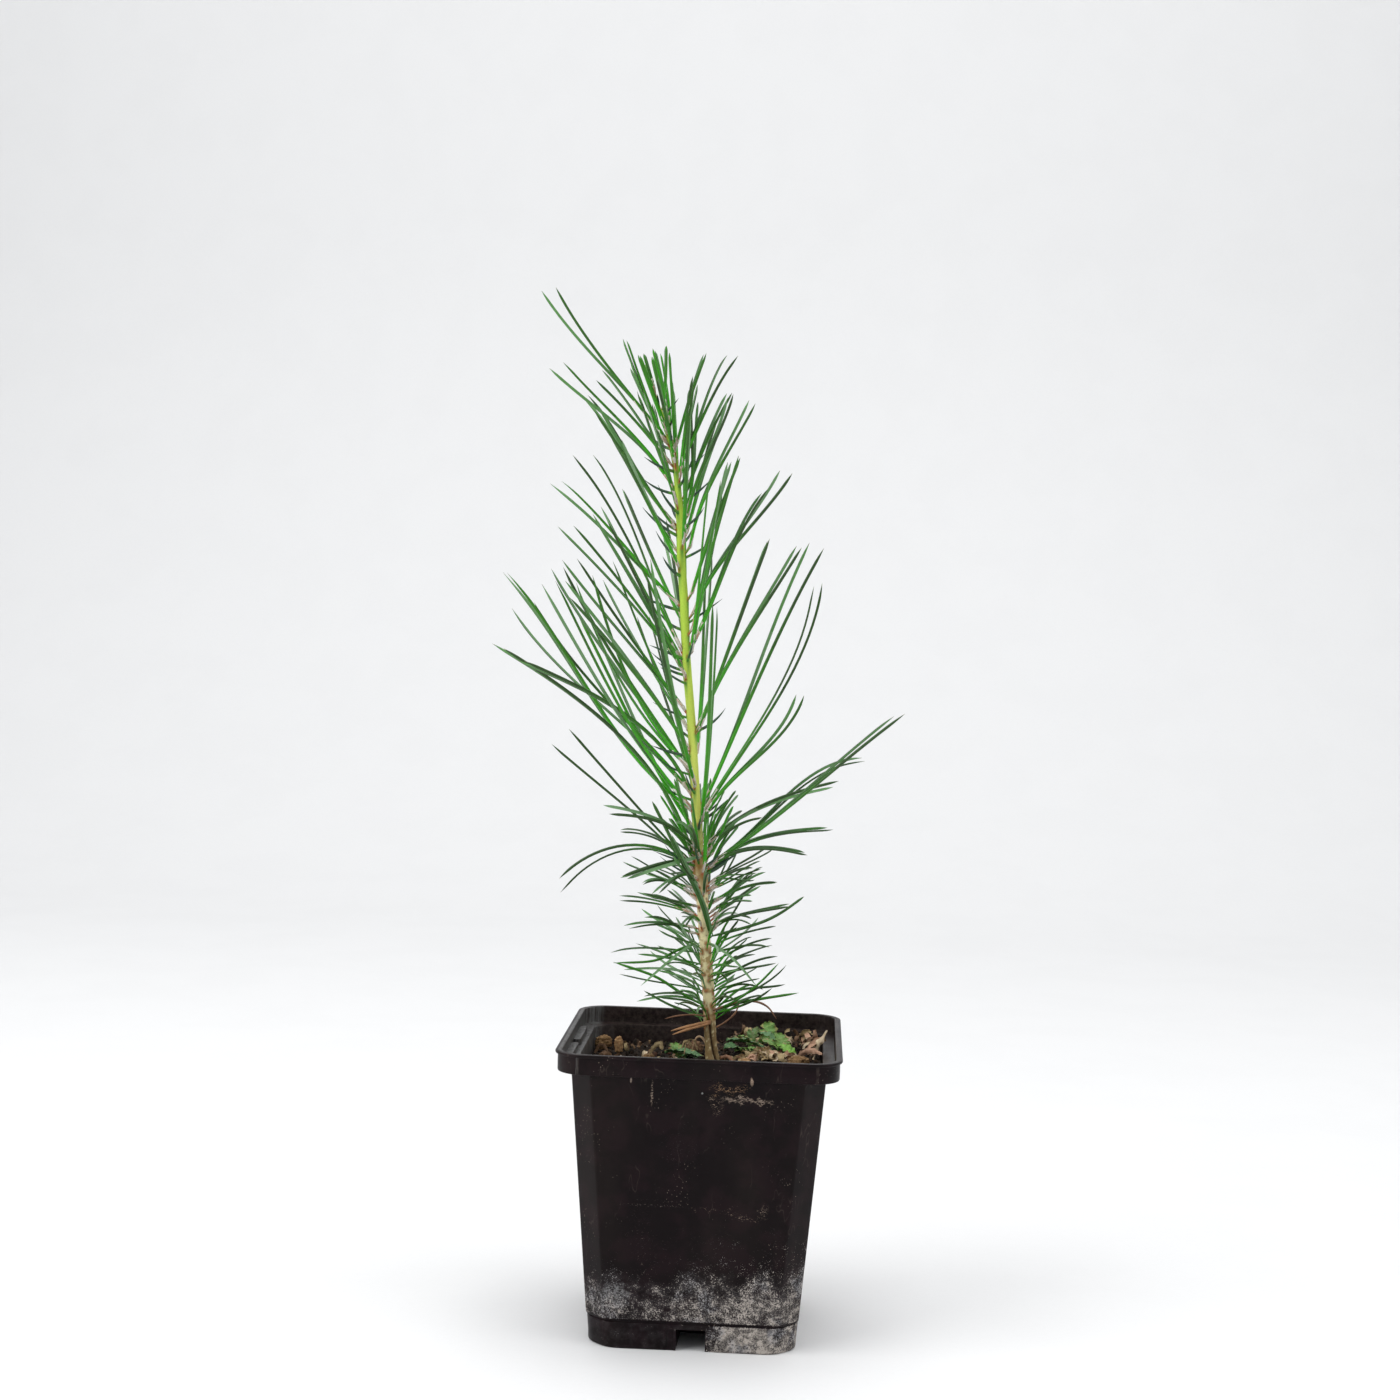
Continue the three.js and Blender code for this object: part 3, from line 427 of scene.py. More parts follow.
def walked(start, directions, lift, swing, length):
    """A line of even steps, each with its own rise and its own swing to the side."""
    along, outward, sideways = directions
    steps = (
        np.outer(np.cos(lift) * np.cos(swing), outward)
        + np.outer(np.cos(lift) * np.sin(swing), sideways)
        + np.outer(np.sin(lift), along)
    ) * (length / len(lift))
    return np.vstack([start, start + np.cumsum(steps, axis=0)])


def route(bundle, side, late=False):
    """The points of one needle's middle line, from the trunk's side to its tip, and its length.

    A pair parts at its sheath in the model, and late lets it part slowly instead, as a real one
    does, to about the same tips.
    """
    length = bundle["length"] * (bundle["twin"] if side > 0 else 1)
    t = (np.arange(ROUTE_STEPS) + 0.5) / ROUTE_STEPS
    spread = np.where(t * length > bundle["sheath"] - SHEATH["sunk"], side * bundle["fork"] / 2, 0)
    if late:
        spread = spread * LATE_FORK * np.minimum(1, 2 * t)
    fork_turn = math.radians(bundle["fork_turn"])
    root, middle, tip = bundle["lift"]
    lift = np.radians(
        root * (1 - t) * (1 - 2 * t) + 4 * middle * t * (1 - t) + tip * t * (2 * t - 1)
        + spread * math.cos(fork_turn)
    )
    swing = np.radians(bundle["sway"] * t * t + spread * math.sin(fork_turn))
    start = beside_trunk(bundle["at"], bundle["turn"], CLEAR + SHEATH["knee"] + SHEATH["off"])
    return walked(start, frame_at(bundle["at"], bundle["turn"]), lift, swing, length), length


def points_on(line, shares):
    """Points on a line at shares of its steps."""
    place = np.clip(np.asarray(shares, float), 0, 1) * (len(line) - 1)
    i = np.minimum(place.astype(int), len(line) - 2)
    return line[i] + (line[i + 1] - line[i]) * (place - i)[:, None]


def share_at(line, distance):
    """The share of a line's steps at a distance along it."""
    marks = np.concatenate([[0], np.cumsum(np.linalg.norm(np.diff(line, axis=0), axis=1))])
    return np.interp(distance, marks, np.linspace(0, 1, len(line)))


def mass_stem(zone, middle):
    bottom, top = zone["from"] + STEM_END, zone["to"] - STEM_END
    steps = max(2, math.ceil((top - bottom) / STEM["step"]))
    heights = lerp(bottom, top, np.arange(steps + 1) / steps)
    return np.array([beside_trunk(z, middle, CLEAR + STEM["radius"]) for z in heights])


def on_stem(line, z):
    above = np.nonzero(line[:, 2] >= z)[0]
    i = max(1, above[0]) if len(above) else 1
    low, high = line[i - 1], line[i]
    return lerp(low, high, (z - low[2]) / (high[2] - low[2]))


def segment_rows(points, radii, mass):
    """One row for each stretch of a tube: its start, end, two radii and mass."""
    marks = np.full(len(points) - 1, mass)
    return np.column_stack([points[:-1], points[1:], radii[:-1], radii[1:], marks])


def segment_gaps(one, others):
    """The gaps between one tapering stretch and others, where their middle lines pass closest."""
    u, v = one[3:6] - one[:3], others[:, 3:6] - others[:, :3]
    w = one[:3] - others[:, :3]
    uu, vv, uv = u @ u, (v * v).sum(1), v @ u
    uw, vw = w @ u, (v * w).sum(1)
    spread = uu * vv - uv * uv
    tiny = 1e-9
    s = np.where(
        spread > tiny, np.clip((uv * vw - vv * uw) / np.maximum(spread, tiny), 0, 1), 0
    )
    t = np.clip((uv * s + vw) / vv, 0, 1)
    s = np.clip((uv * t - uw) / uu, 0, 1)
    apart = np.linalg.norm(w + np.outer(s, u) - v * t[:, None], axis=1)
    return apart - lerp(one[6], one[7], s) - lerp(others[:, 6], others[:, 7], t)


def guard_rows(bundle, zone, sector, mass):
    """The tubes that the model's source gives a bundle, as rows."""
    kind = "short" if "brush" in zone["name"] else "long"
    root = on_stem(mass_stem(zone, SECTORS[sector]), bundle["at"] - TWIG["drop"])
    sides = (0,) if bundle["needles"] == 1 else (-1, 1)
    rows = []
    for side in sides:
        line, length = route(bundle, side)
        is_first = side == sides[0]
        start = bundle["sheath"] - (0 if is_first else SHEATH["sunk"])
        shares = lerp(start / length, 1, np.array([0, *NEEDLE_RINGS[kind], 1]))
        points = list(points_on(line, shares))
        radii = [taper * zone["radius"] for taper in NEEDLE_TAPER[kind]] + [0]
        if not is_first:
            radii[0] = SHEATH["core"]
        elif bundle["sheath"] > 0:
            radii[0] = SHEATH["mouth"]
            points.insert(0, line[0])
            radii.insert(0, SHEATH["knee"])
        if is_first:
            points.insert(0, root)
            radii.insert(0, TWIG["radius"])
        rows.append(segment_rows(np.array(points), np.array(radii), mass))
    return np.vstack(rows)


def zone_at(height):
    return next(zone for zone in ZONES if height < zone["to"])


def sector_of(turn):
    return list(SECTORS)[int(((turn + 45) % 360) // 90)]


def turn_between(a, b):
    return abs((a - b + 540) % 360 - 180)


def is_in(place, bundle):
    is_near = turn_between(place["turn"], bundle["turn"]) < place["spread"]
    return is_near and place["from"] < bundle["at"] < place["to"]


def foliage_bundles():
    """Every bundle of needles that finds room, with its zone and the mass that it belongs to."""
    names = [f"{zone['name']}_{sector}" for zone in ZONES for sector in SECTORS]
    stretches = []
    for z in np.arange(TRUNK[0, 0], TRUNK[-1, 0], TRUNK_STRETCH):
        ends = np.array([axis_at(z), axis_at(z + TRUNK_STRETCH)])
        radii = trunk_radius(np.array([z, z + TRUNK_STRETCH]))
        stretches.append(segment_rows(ends, radii, -1))
    placed = [np.vstack(stretches)]
    for zone in ZONES:
        for sector, middle in SECTORS.items():
            line = mass_stem(zone, middle)
            radii = np.full(len(line), STEM["radius"])
            placed.append(segment_rows(line, radii, names.index(f"{zone['name']}_{sector}")))
    grown = []

    def settle(bundle, zone):
        taken = np.vstack(placed)
        for attempt in range(TRIES):
            shifted = dict(bundle)
            if attempt > 0:
                reach = SHIFT["first"] + SHIFT["more"] * attempt
                shifted["turn"] += reach * (2 * bundle["draw"]() - 1)
                tilt = SHIFT["tilt"] * reach * (2 * bundle["draw"]() - 1)
                shifted["lift"] = [lift + tilt for lift in bundle["lift"]]
            sector = sector_of(shifted["turn"])
            mass = names.index(f"{zone['name']}_{sector}")
            rows = guard_rows(shifted, zone, sector, mass)
            others = taken[taken[:, 8] != mass]
            free = shifted.get("free", FREE)
            if rows[:, 5].min() > LOWEST_NEEDLE and all(
                segment_gaps(row, others).min() > free for row in rows
            ):
                placed.append(rows)
                if not any(is_in(place, shifted) for place in BARE):
                    grown.append((names[mass], zone, shifted))
                return

    for index, mark in enumerate(MARKED):
        zone = zone_at(mark[0])
        settle(marked_bundle(mark, zone, index), zone)
    turn = 0
    for zone in ZONES:
        for index in range(zone["count"]):
            turn = (turn + GOLDEN_ANGLE) % 360
            bundle = rule_bundle(zone, index, turn)
            is_taken = any(
                turn_between(mark[1], bundle["turn"]) < TAKEN["turn"]
                and abs(mark[0] - bundle["at"]) < TAKEN["height"]
                for mark in MARKED
            )
            if not is_taken and not is_in(OPEN_SKY, bundle):
                settle(bundle, zone)
    for index, mark in enumerate(CROWN_FAN):
        zone = FAN_ZONE if mark[0] > FAN_FROM else zone_at(mark[0])
        bundle = marked_bundle(mark, zone, len(MARKED) + index)
        settle({**bundle, "fine": True, "free": OVERLAP}, zone)
    for zone in FINE_GROWTH:
        for index in range(zone["count"]):
            turn = (turn + GOLDEN_ANGLE) % 360
            settle({**rule_bundle(zone, index, turn), "fine": True}, zone)
    return grown


# Meshes


class Skin:
    """Gathers grids of points, in millimetres, and makes one mesh of them."""

    def __init__(self):
        self.points, self.faces, self.slots, self.tints = [], [], [], []
        self.count = 0

    def add(self, points, faces, slot=0, cap_slot=None, tint=None):
        """Adds points and rows of faces, the walls and then the caps.

        slot is one number, or one for each face of the walls. cap_slot is for the caps, which
        otherwise have the walls' slot.
        """
        points = np.asarray(points, float).reshape(-1, 3)
        for rows in faces:
            self.faces.append(np.asarray(rows, int) + self.count)
            self.slots.append(np.broadcast_to(np.asarray(slot, int), len(rows)))
            slot = slot if cap_slot is None else cap_slot
        self.points.append(points)
        if tint is not None:
            self.tints.append(np.asarray(tint, float).reshape(-1, 3))
        self.count += len(points)

    def mesh(self, name, materials, sharp=None):
        made = bpy.data.meshes.new(name)
        points = np.concatenate(self.points) * MM
        corners = np.concatenate([rows.ravel() for rows in self.faces])
        totals = np.concatenate([np.full(len(rows), rows.shape[1]) for rows in self.faces])
        made.vertices.add(len(points))
        made.vertices.foreach_set("co", points.ravel())
        made.loops.add(len(corners))
        made.loops.foreach_set("vertex_index", corners)
        made.polygons.add(len(totals))
        made.polygons.foreach_set("loop_start", np.cumsum(totals) - totals)
        made.polygons.foreach_set("material_index", np.concatenate(self.slots))
        made.polygons.foreach_set("use_smooth", np.ones(len(totals), bool))
        made.update(calc_edges=True)
        for material in materials:
            made.materials.append(material)
        if self.tints:
            layer = made.color_attributes.new("Tint", "FLOAT_COLOR", "POINT")
            tint = np.concatenate(self.tints)
            layer.data.foreach_set("color", np.column_stack([tint, np.ones(len(tint))]).ravel())
        if sharp is not None:
            made.set_sharp_from_angle(angle=math.radians(sharp))
        return made


def ring_faces(rings, sides, start_cap=True, end_cap=True):
    """The faces over rings of as many points, with flat caps."""
    i, j = np.meshgrid(np.arange(rings - 1), np.arange(sides), indexing="ij")
    a, b = i * sides + j, i * sides + (j + 1) % sides
    walls = np.stack([a, b, b + sides, a + sides], axis=-1).reshape(-1, 4)
    k = np.arange(1, sides - 1)
    caps = []
    if start_cap:
        caps.append(np.stack([np.zeros_like(k), k + 1, k], axis=-1))
    if end_cap:
        first = (rings - 1) * sides
        caps.append(np.stack([np.full_like(k, first), first + k, first + k + 1], axis=-1))
    return walls, np.vstack(caps) if caps else np.zeros((0, 3), int)


def sheet_faces(rows, columns):
    i, j = np.meshgrid(np.arange(rows - 1), np.arange(columns - 1), indexing="ij")
    a = i * columns + j
    return np.stack([a, a + 1, a + columns + 1, a + columns], axis=-1).reshape(-1, 4)


def add_leaf(skin, grid, thickness, slot=0, edge_slot=None):
    """A thin closed leaf round a grid of points. edge_slot, if given, is for its ragged long edges."""
    rows, columns = grid.shape[:2]
    down, across = np.gradient(grid, axis=0), np.gradient(grid, axis=1)
    normals = np.cross(down, across)
    normals /= np.maximum(np.linalg.norm(normals, axis=-1, keepdims=True), 1e-9)
    edge = np.zeros((rows, columns), bool)
    edge[[0, -1], :] = True
    edge[:, [0, -1]] = True
    half = np.where(edge, 0.15, 0.5)[..., None] * thickness * normals
    top, count = sheet_faces(rows, columns), rows * columns
    index = np.arange(count).reshape(rows, columns)
    rim = np.concatenate([index[0, :-1], index[:-1, -1], index[-1, :0:-1], index[:0:-1, 0]])
    after = np.roll(rim, -1)
    side = np.stack([rim, rim + count, after + count, after], axis=-1)
    points = np.concatenate([(grid + half).reshape(-1, 3), (grid - half).reshape(-1, 3)])
    slots = np.full(2 * len(top) + len(side), slot)
    if edge_slot is not None:
        row = np.arange(len(top)) // (columns - 1)
        worn = relief(grid[:-1, :-1], 1.7, 2).ravel() > 0.1
        is_edge = np.minimum(row, rows - 2 - row) < np.where(worn, 2, 1)
        slots[: 2 * len(top)][np.tile(is_edge & worn, 2)] = edge_slot
    skin.add(points, [np.vstack([top[:, ::-1], top + count, side])], slots)


def add_tube(skin, line, radii, sides, slot=0):
    """A closed tube round a line, untwisted. radii and slot are one number or one for each ring."""
    line = np.asarray(line, float)
    tangents = unit(np.gradient(line, axis=0))
    across = np.array([0.0, 1.0, 0.0] if abs(tangents[0][0]) > 0.7 else [1.0, 0.0, 0.0])
    angles = 2 * np.pi * np.arange(sides) / sides
    rings = []
    for point, tangent, radius in zip(line, tangents, np.broadcast_to(radii, len(line))):
        across = unit(across - (across @ tangent) * tangent)
        over = np.cross(tangent, across)
        spokes = np.outer(np.cos(angles), across) + np.outer(np.sin(angles), over)
        rings.append(point + radius * spokes)
    walls, caps = ring_faces(len(rings), sides)
    slots = np.repeat(np.broadcast_to(slot, len(rings) - 1), sides)
    skin.add(rings, [walls, caps], slots, slots[-1])


def frames_along(points, flat):
    """A line's own direction at each point, the nearest one to flat across it, and the third."""
    tangents = unit(np.gradient(points, axis=0))
    inward = unit(flat - (tangents @ flat)[:, None] * tangents)
    return tangents, inward, np.cross(tangents, inward)


def sections(places, inward, across, u, v):
    """A section at each place of a line. u is inward and v is across, by ring and by corner."""
    return places + u[..., None] * inward[:, None, :] + v[..., None] * across[:, None, :]


def smooth_line(points, count):
    """A smooth line through a few points, as many points long as asked."""
    points = np.asarray(points, float)
    padded = np.vstack([2 * points[0] - points[1], points, 2 * points[-1] - points[-2]])
    place = np.linspace(0, len(points) - 1, count)
    i = np.minimum(place.astype(int), len(points) - 2)
    t = (place - i)[:, None]
    a, b, c, d = (padded[i + k] for k in range(4))
    return 0.5 * (
        2 * b + (c - a) * t + (2 * a - 5 * b + 4 * c - d) * t**2 + (3 * b - a - 3 * c + d) * t**3
    )


def turned(points, angles):
    """Points turned by three angles, in radians, about X, Y and Z."""
    matrix = Matrix.Rotation(angles[2], 3, "Z") @ Matrix.Rotation(angles[1], 3, "Y")
    matrix = matrix @ Matrix.Rotation(angles[0], 3, "X")
    return points @ np.array(matrix).T


def ball(divisions):
    """The points and faces of an even ball of radius 1."""
    made = bmesh.new()
    bmesh.ops.create_icosphere(made, subdivisions=divisions, radius=1)
    points = np.array([vertex.co[:] for vertex in made.verts])
    faces = np.array([[vertex.index for vertex in face.verts] for face in made.faces])
    made.free()
    return points, faces


def place_piece(name, skin, materials, nodes=(), sharp=None):
    """Makes a piece of the object from a skin, and puts it on the model's body."""
    piece = bpy.data.objects.new(name, skin.mesh(name, materials, sharp))
    bpy.context.scene.collection.objects.link(piece)
    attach(piece, BODY)
    if nodes:
        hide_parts(*nodes)
    return piece


# Looks


def colour(values, strength=1):
    """A colour with its alpha, made lighter or darker."""
    return (*(strength * value for value in values[:3]), 1.0)


class Look:
    """A shader tree, with short calls for the nodes that the finishes are made of."""

    def __init__(self, tree):
        self.tree = tree

    def link(self, source, target):
        self.tree.links.new(source, target)

    def filled(self, node, inputs):
        """A node whose inputs are set to numbers or linked to sockets."""
        for name, value in inputs.items():
            if isinstance(value, bpy.types.NodeSocket):
                self.link(value, node.inputs[name])
            else:
                node.inputs[name].default_value = value
        return node

    def node(self, kind, inputs=None, **settings):
        made = self.tree.nodes.new("ShaderNode" + kind)
        for name, value in settings.items():
            setattr(made, name, value)
        return self.filled(made, inputs or {})

    def group(self, name, make, values):
        """The outputs of a shared group placed with its own values. Its first use makes it."""
        tree = bpy.data.node_groups.get(name) or make()
        return self.filled(self.node("Group", node_tree=tree), values).outputs

    def math(self, operation, a, b=0.0, c=None, clamp=False):
        inputs = {0: a, 1: b}
        if c is not None:
            inputs[2] = c
        return self.node("Math", inputs, operation=operation, use_clamp=clamp).outputs[0]

    def times(self, a, b):
        return self.math("MULTIPLY", a, b)

    def times_plus(self, a, b, c, clamp=False):
        return self.math("MULTIPLY_ADD", a, b, c, clamp)

    def minus(self, a, b):
        return self.math("SUBTRACT", a, b)

    def most(self, a, b):
        return self.math("MAXIMUM", a, b)

    def mix(self, share, a, b):
        inputs = {0: share, 6: a, 7: b}
        return self.node("Mix", inputs, data_type="RGBA", clamp_factor=True).outputs[2]

    def ramp(self, value, low, high, bottom=0.0, top=1.0):
        inputs = {"Value": value, "From Min": low, "From Max": high, "To Min": bottom, "To Max": top}
        return self.node("MapRange", inputs, interpolation_type="SMOOTHSTEP").outputs[0]

    def noise(self, vector, scale, detail=3.0, roughness=0.55):
        inputs = {"Vector": vector, "Scale": scale, "Detail": detail, "Roughness": roughness}
        return self.node("TexNoise", inputs).outputs[0]

    def place(self):
        return self.node("TexCoord").outputs["Object"]

    def stretched(self, place, scale):
        return self.node("Mapping", {"Vector": place, "Scale": scale}).outputs[0]


def new_group(name, inputs, outputs):
    """An empty shader group with named sockets: its look, what it is given and its results."""
    tree = bpy.data.node_groups.new(name, "ShaderNodeTree")
    for label, value in inputs.items():
        kind = "NodeSocketColor" if np.ndim(value) else "NodeSocketFloat"
        socket = tree.interface.new_socket(name=label, in_out="INPUT", socket_type=kind)
        socket.default_value = value
    for label, kind in outputs.items():
        tree.interface.new_socket(name=label, in_out="OUTPUT", socket_type="NodeSocket" + kind)
    given, result = tree.nodes.new("NodeGroupInput"), tree.nodes.new("NodeGroupOutput")
    return Look(tree), given.outputs, result.inputs


def mottle_group():
    """A base colour broken up by patches of a second one, with a fine relief. Sizes are in mm."""
    look, given, result = new_group(
        "Mottle",
        {"Base Color": (0.5, 0.5, 0.5, 1), "Patch Color": (0.2, 0.2, 0.2, 1), "Patch Size": 2.0,
         "Patch Amount": 0.5, "Grain Size": 0.3, "Grain Amount": 0.2},
        {"Color": "Color", "Patches": "Float", "Height": "Float"},
    )
    place = look.place()
    patch_scale = look.math("DIVIDE", 1 / MM, given["Patch Size"])
    grain_scale = look.math("DIVIDE", 1 / MM, given["Grain Size"])
    patches = look.ramp(look.noise(place, patch_scale), 0.42, 0.62)
    grain = look.noise(place, grain_scale, 4.0, 0.65)
    patch_share = look.times(patches, given["Patch Amount"])
    base = look.mix(patch_share, given["Base Color"], given["Patch Color"])
    dark = look.mix(0.55, base, (0.0, 0.0, 0.0, 1))
    grain_share = look.times(look.ramp(grain, 0.45, 0.7), given["Grain Amount"])
    look.link(look.mix(grain_share, base, dark), result["Color"])
    look.link(patches, result["Patches"])
    look.link(grain, result["Height"])
    return look.tree


def specks_group():
    """Masks for fine specks of dust and for broken scratches. Sizes are in mm."""
    look, given, result = new_group(
        "Specks and scratches",
        {"Speck Size": 0.5, "Speck Amount": 0.3, "Scratch Size": 12.0, "Scratch Width": 0.006},
        {"Specks": "Float", "Scratches": "Float", "Smears": "Float"},
    )
    place = look.place()
    scale = look.math("DIVIDE", 1 / MM, given["Speck Size"])
    cells = look.node("TexVoronoi", {"Vector": place, "Scale": scale}).outputs["Distance"]
    crowd = look.noise(place, look.math("DIVIDE", scale, 14.0), 3.0)
    limit = look.times(look.ramp(crowd, 0.4, 0.75), given["Speck Amount"])
    look.link(look.ramp(look.minus(limit, cells), 0.0, 0.08), result["Specks"])
    stretched = look.stretched(place, (1.0, 1.0, 0.3))
    fine = look.math("DIVIDE", 1 / MM, given["Scratch Size"])
    waves = look.noise(stretched, fine, 4.0, 0.6)
    near = look.minus(given["Scratch Width"], look.math("ABSOLUTE", look.minus(waves, 0.5)))
    broken = look.ramp(look.noise(place, look.times(fine, 2.3), 2.0), 0.5, 0.62)
    look.link(look.times(look.ramp(near, -0.002, 0.004), broken), result["Scratches"])
    smears = look.noise(stretched, look.times(fine, 0.9))
    look.link(look.ramp(smears, 0.4, 0.8), result["Smears"])
    return look.tree


def new_material(name, roughness=0.6, specular=0.5, bump=0.3, bump_mm=0.1):
    """A material with its look, the inputs of its shader and the height that feeds its normal."""
    made = bpy.data.materials.new(name)
    made.use_nodes = True
    look = Look(made.node_tree)
    shader = look.tree.nodes["Principled BSDF"].inputs
    shader["Roughness"].default_value = roughness
    shader["Specular IOR Level"].default_value = specular
    bump_node = look.node("Bump", {"Strength": bump, "Distance": bump_mm * MM})
    look.link(bump_node.outputs[0], shader["Normal"])
    return made, look, shader, bump_node.inputs["Height"]


def mottled_material(name, base, patch, size, amount=0.5, grain=0.3, grain_amount=0.2, **finish):
    """A material of two colours in patches, with a fine relief. Without a base, the mesh has it."""
    made, look, shader, height = new_material(name, **finish)
    if base is None:
        base = patch = look.node("Attribute", attribute_name="Tint").outputs["Color"]
    else:
        base, patch = colour(base), colour(patch)
    skin = look.group("Mottle", mottle_group, {
        "Base Color": base, "Patch Color": patch, "Patch Size": size, "Patch Amount": amount,
        "Grain Size": grain, "Grain Amount": grain_amount,
    })
    look.link(skin["Color"], shader["Base Color"])
    look.link(skin["Height"], height)
    return made


def material_set(rows, **finish):
    """Materials of one finish. Each row has a name, two colours and what else differs."""
    return [mottled_material(*row, **finish) for row in rows]


# Settings


def colour_property(name, description, default):
    return FloatVectorProperty(
        name=name, description=description, subtype="COLOR", size=3, min=0, max=1, default=default
    )


def power_property(name, description, default):
    return FloatProperty(name=name, description=description, unit="POWER", default=default, min=0)


class PineStageSettings(bpy.types.PropertyGroup):
    """The light and the ground that the plant is shown on."""

    floor: colour_property("Floor", "Colour of the floor and the wall behind it", (0.8, 0.8, 0.8))
    wall: power_property("Wall light", "Power of the light on the wall behind", 17.3)
    key: power_property("Key light", "Power of the large light at the left", 10.0)
    fill: power_property("Fill light", "Power of the large light at the right", 4.0)
    overhead: power_property("Overhead light", "Power of the light above", 5.0)
    surround: FloatProperty(
        name="Surround", description="Strength of the even light from all sides", default=0.5,
        min=0,
    )


class PinePotSettings(bpy.types.PropertyGroup):
    """The pot's plastic and the dirt on it."""

    plastic: colour_property("Plastic", "Colour of the clean plastic", (0.0034, 0.0012, 0.0018))
    dust: colour_property("Dust", "Colour of dust, smears and scratches", (0.13, 0.105, 0.085))
    lime: colour_property("Lime", "Colour of the lime at the foot", (0.5, 0.45, 0.4))
    earth: colour_property("Earth", "Colour of the dried earth under the rim", (0.4, 0.27, 0.18))
    fillet: FloatProperty(
        name="Fillet", description="Rounding of the body's upright corners, in mm",
        default=1.3, min=0.1, max=3,
    )


class PineSoilSettings(bpy.types.PropertyGroup):
    """The soil and the scraps that lie on it."""

    dark: colour_property("Dark soil", "Colour of the soil", (0.012, 0.008, 0.0055))
    brown: colour_property("Brown soil", "Colour of the drier crumbs", (0.05, 0.028, 0.016))
    tan: colour_property("Dry scraps", "Colour of dry leaf scraps", (0.45, 0.34, 0.18))
    moss: colour_property("Moss", "Colour of the green scraps", (0.12, 0.26, 0.05))
    crumbs: IntProperty(name="Crumbs", description="Number of loose crumbs", default=1700, min=0)
    crumb_size: FloatProperty(
        name="Crumb size", description="Size of a large crumb, in mm", default=1.15, min=0.1
    )


class PineTrunkSettings(bpy.types.PropertyGroup):
    """The bark and the green shoot."""

    bark: colour_property("Bark", "Colour of the tan bark low down", (0.82, 0.72, 0.41))
    scar: colour_property("Scars", "Colour of scars and cracks", (0.13, 0.06, 0.028))
    shoot: colour_property("Shoot", "Colour of the green shoot", (0.5, 0.68, 0.08))
    ridge: colour_property("Ridges", "Colour of the ridges under the bundles", (0.1, 0.3, 0.035))
    foot: colour_property("Bundle feet", "Colour round the foot of each bundle", (0.36, 0.14, 0.04))
    relief: FloatProperty(
        name="Relief", description="Depth of the bark's cracks, in mm", default=0.13, min=0
    )


class PineFoliageSettings(bpy.types.PropertyGroup):
    """The needles and their sheaths."""

    young: colour_property("Young green", "Colour where a needle leaves its sheath", (0.045, 0.4, 0.004))
    middle: colour_property("Middle green", "Colour along the middle of a needle", (0.045, 0.215, 0.013))
    old: colour_property("Old green", "Colour near a needle's tip", (0.026, 0.07, 0.013))
    pale: colour_property("Pale side", "Colour of a needle's flat side", (0.21, 0.35, 0.185))
    tip: colour_property("Tip", "Colour of a needle's point", (0.13, 0.17, 0.035))
    sheath: colour_property("Sheath", "Colour of a sheath's foot", (0.45, 0.13, 0.045))
    stripe: colour_property("Sheath stripes", "Colour of a sheath's stripes", (0.5, 0.31, 0.21))
    mouth: colour_property("Sheath mouth", "Colour of a sheath's thin mouth", (0.66, 0.65, 0.58))
    thickness: FloatProperty(
        name="Thickness", description="Thickness of a needle as a share of half its width",
        default=1.2, min=0.2, max=2,
    )


# The stage


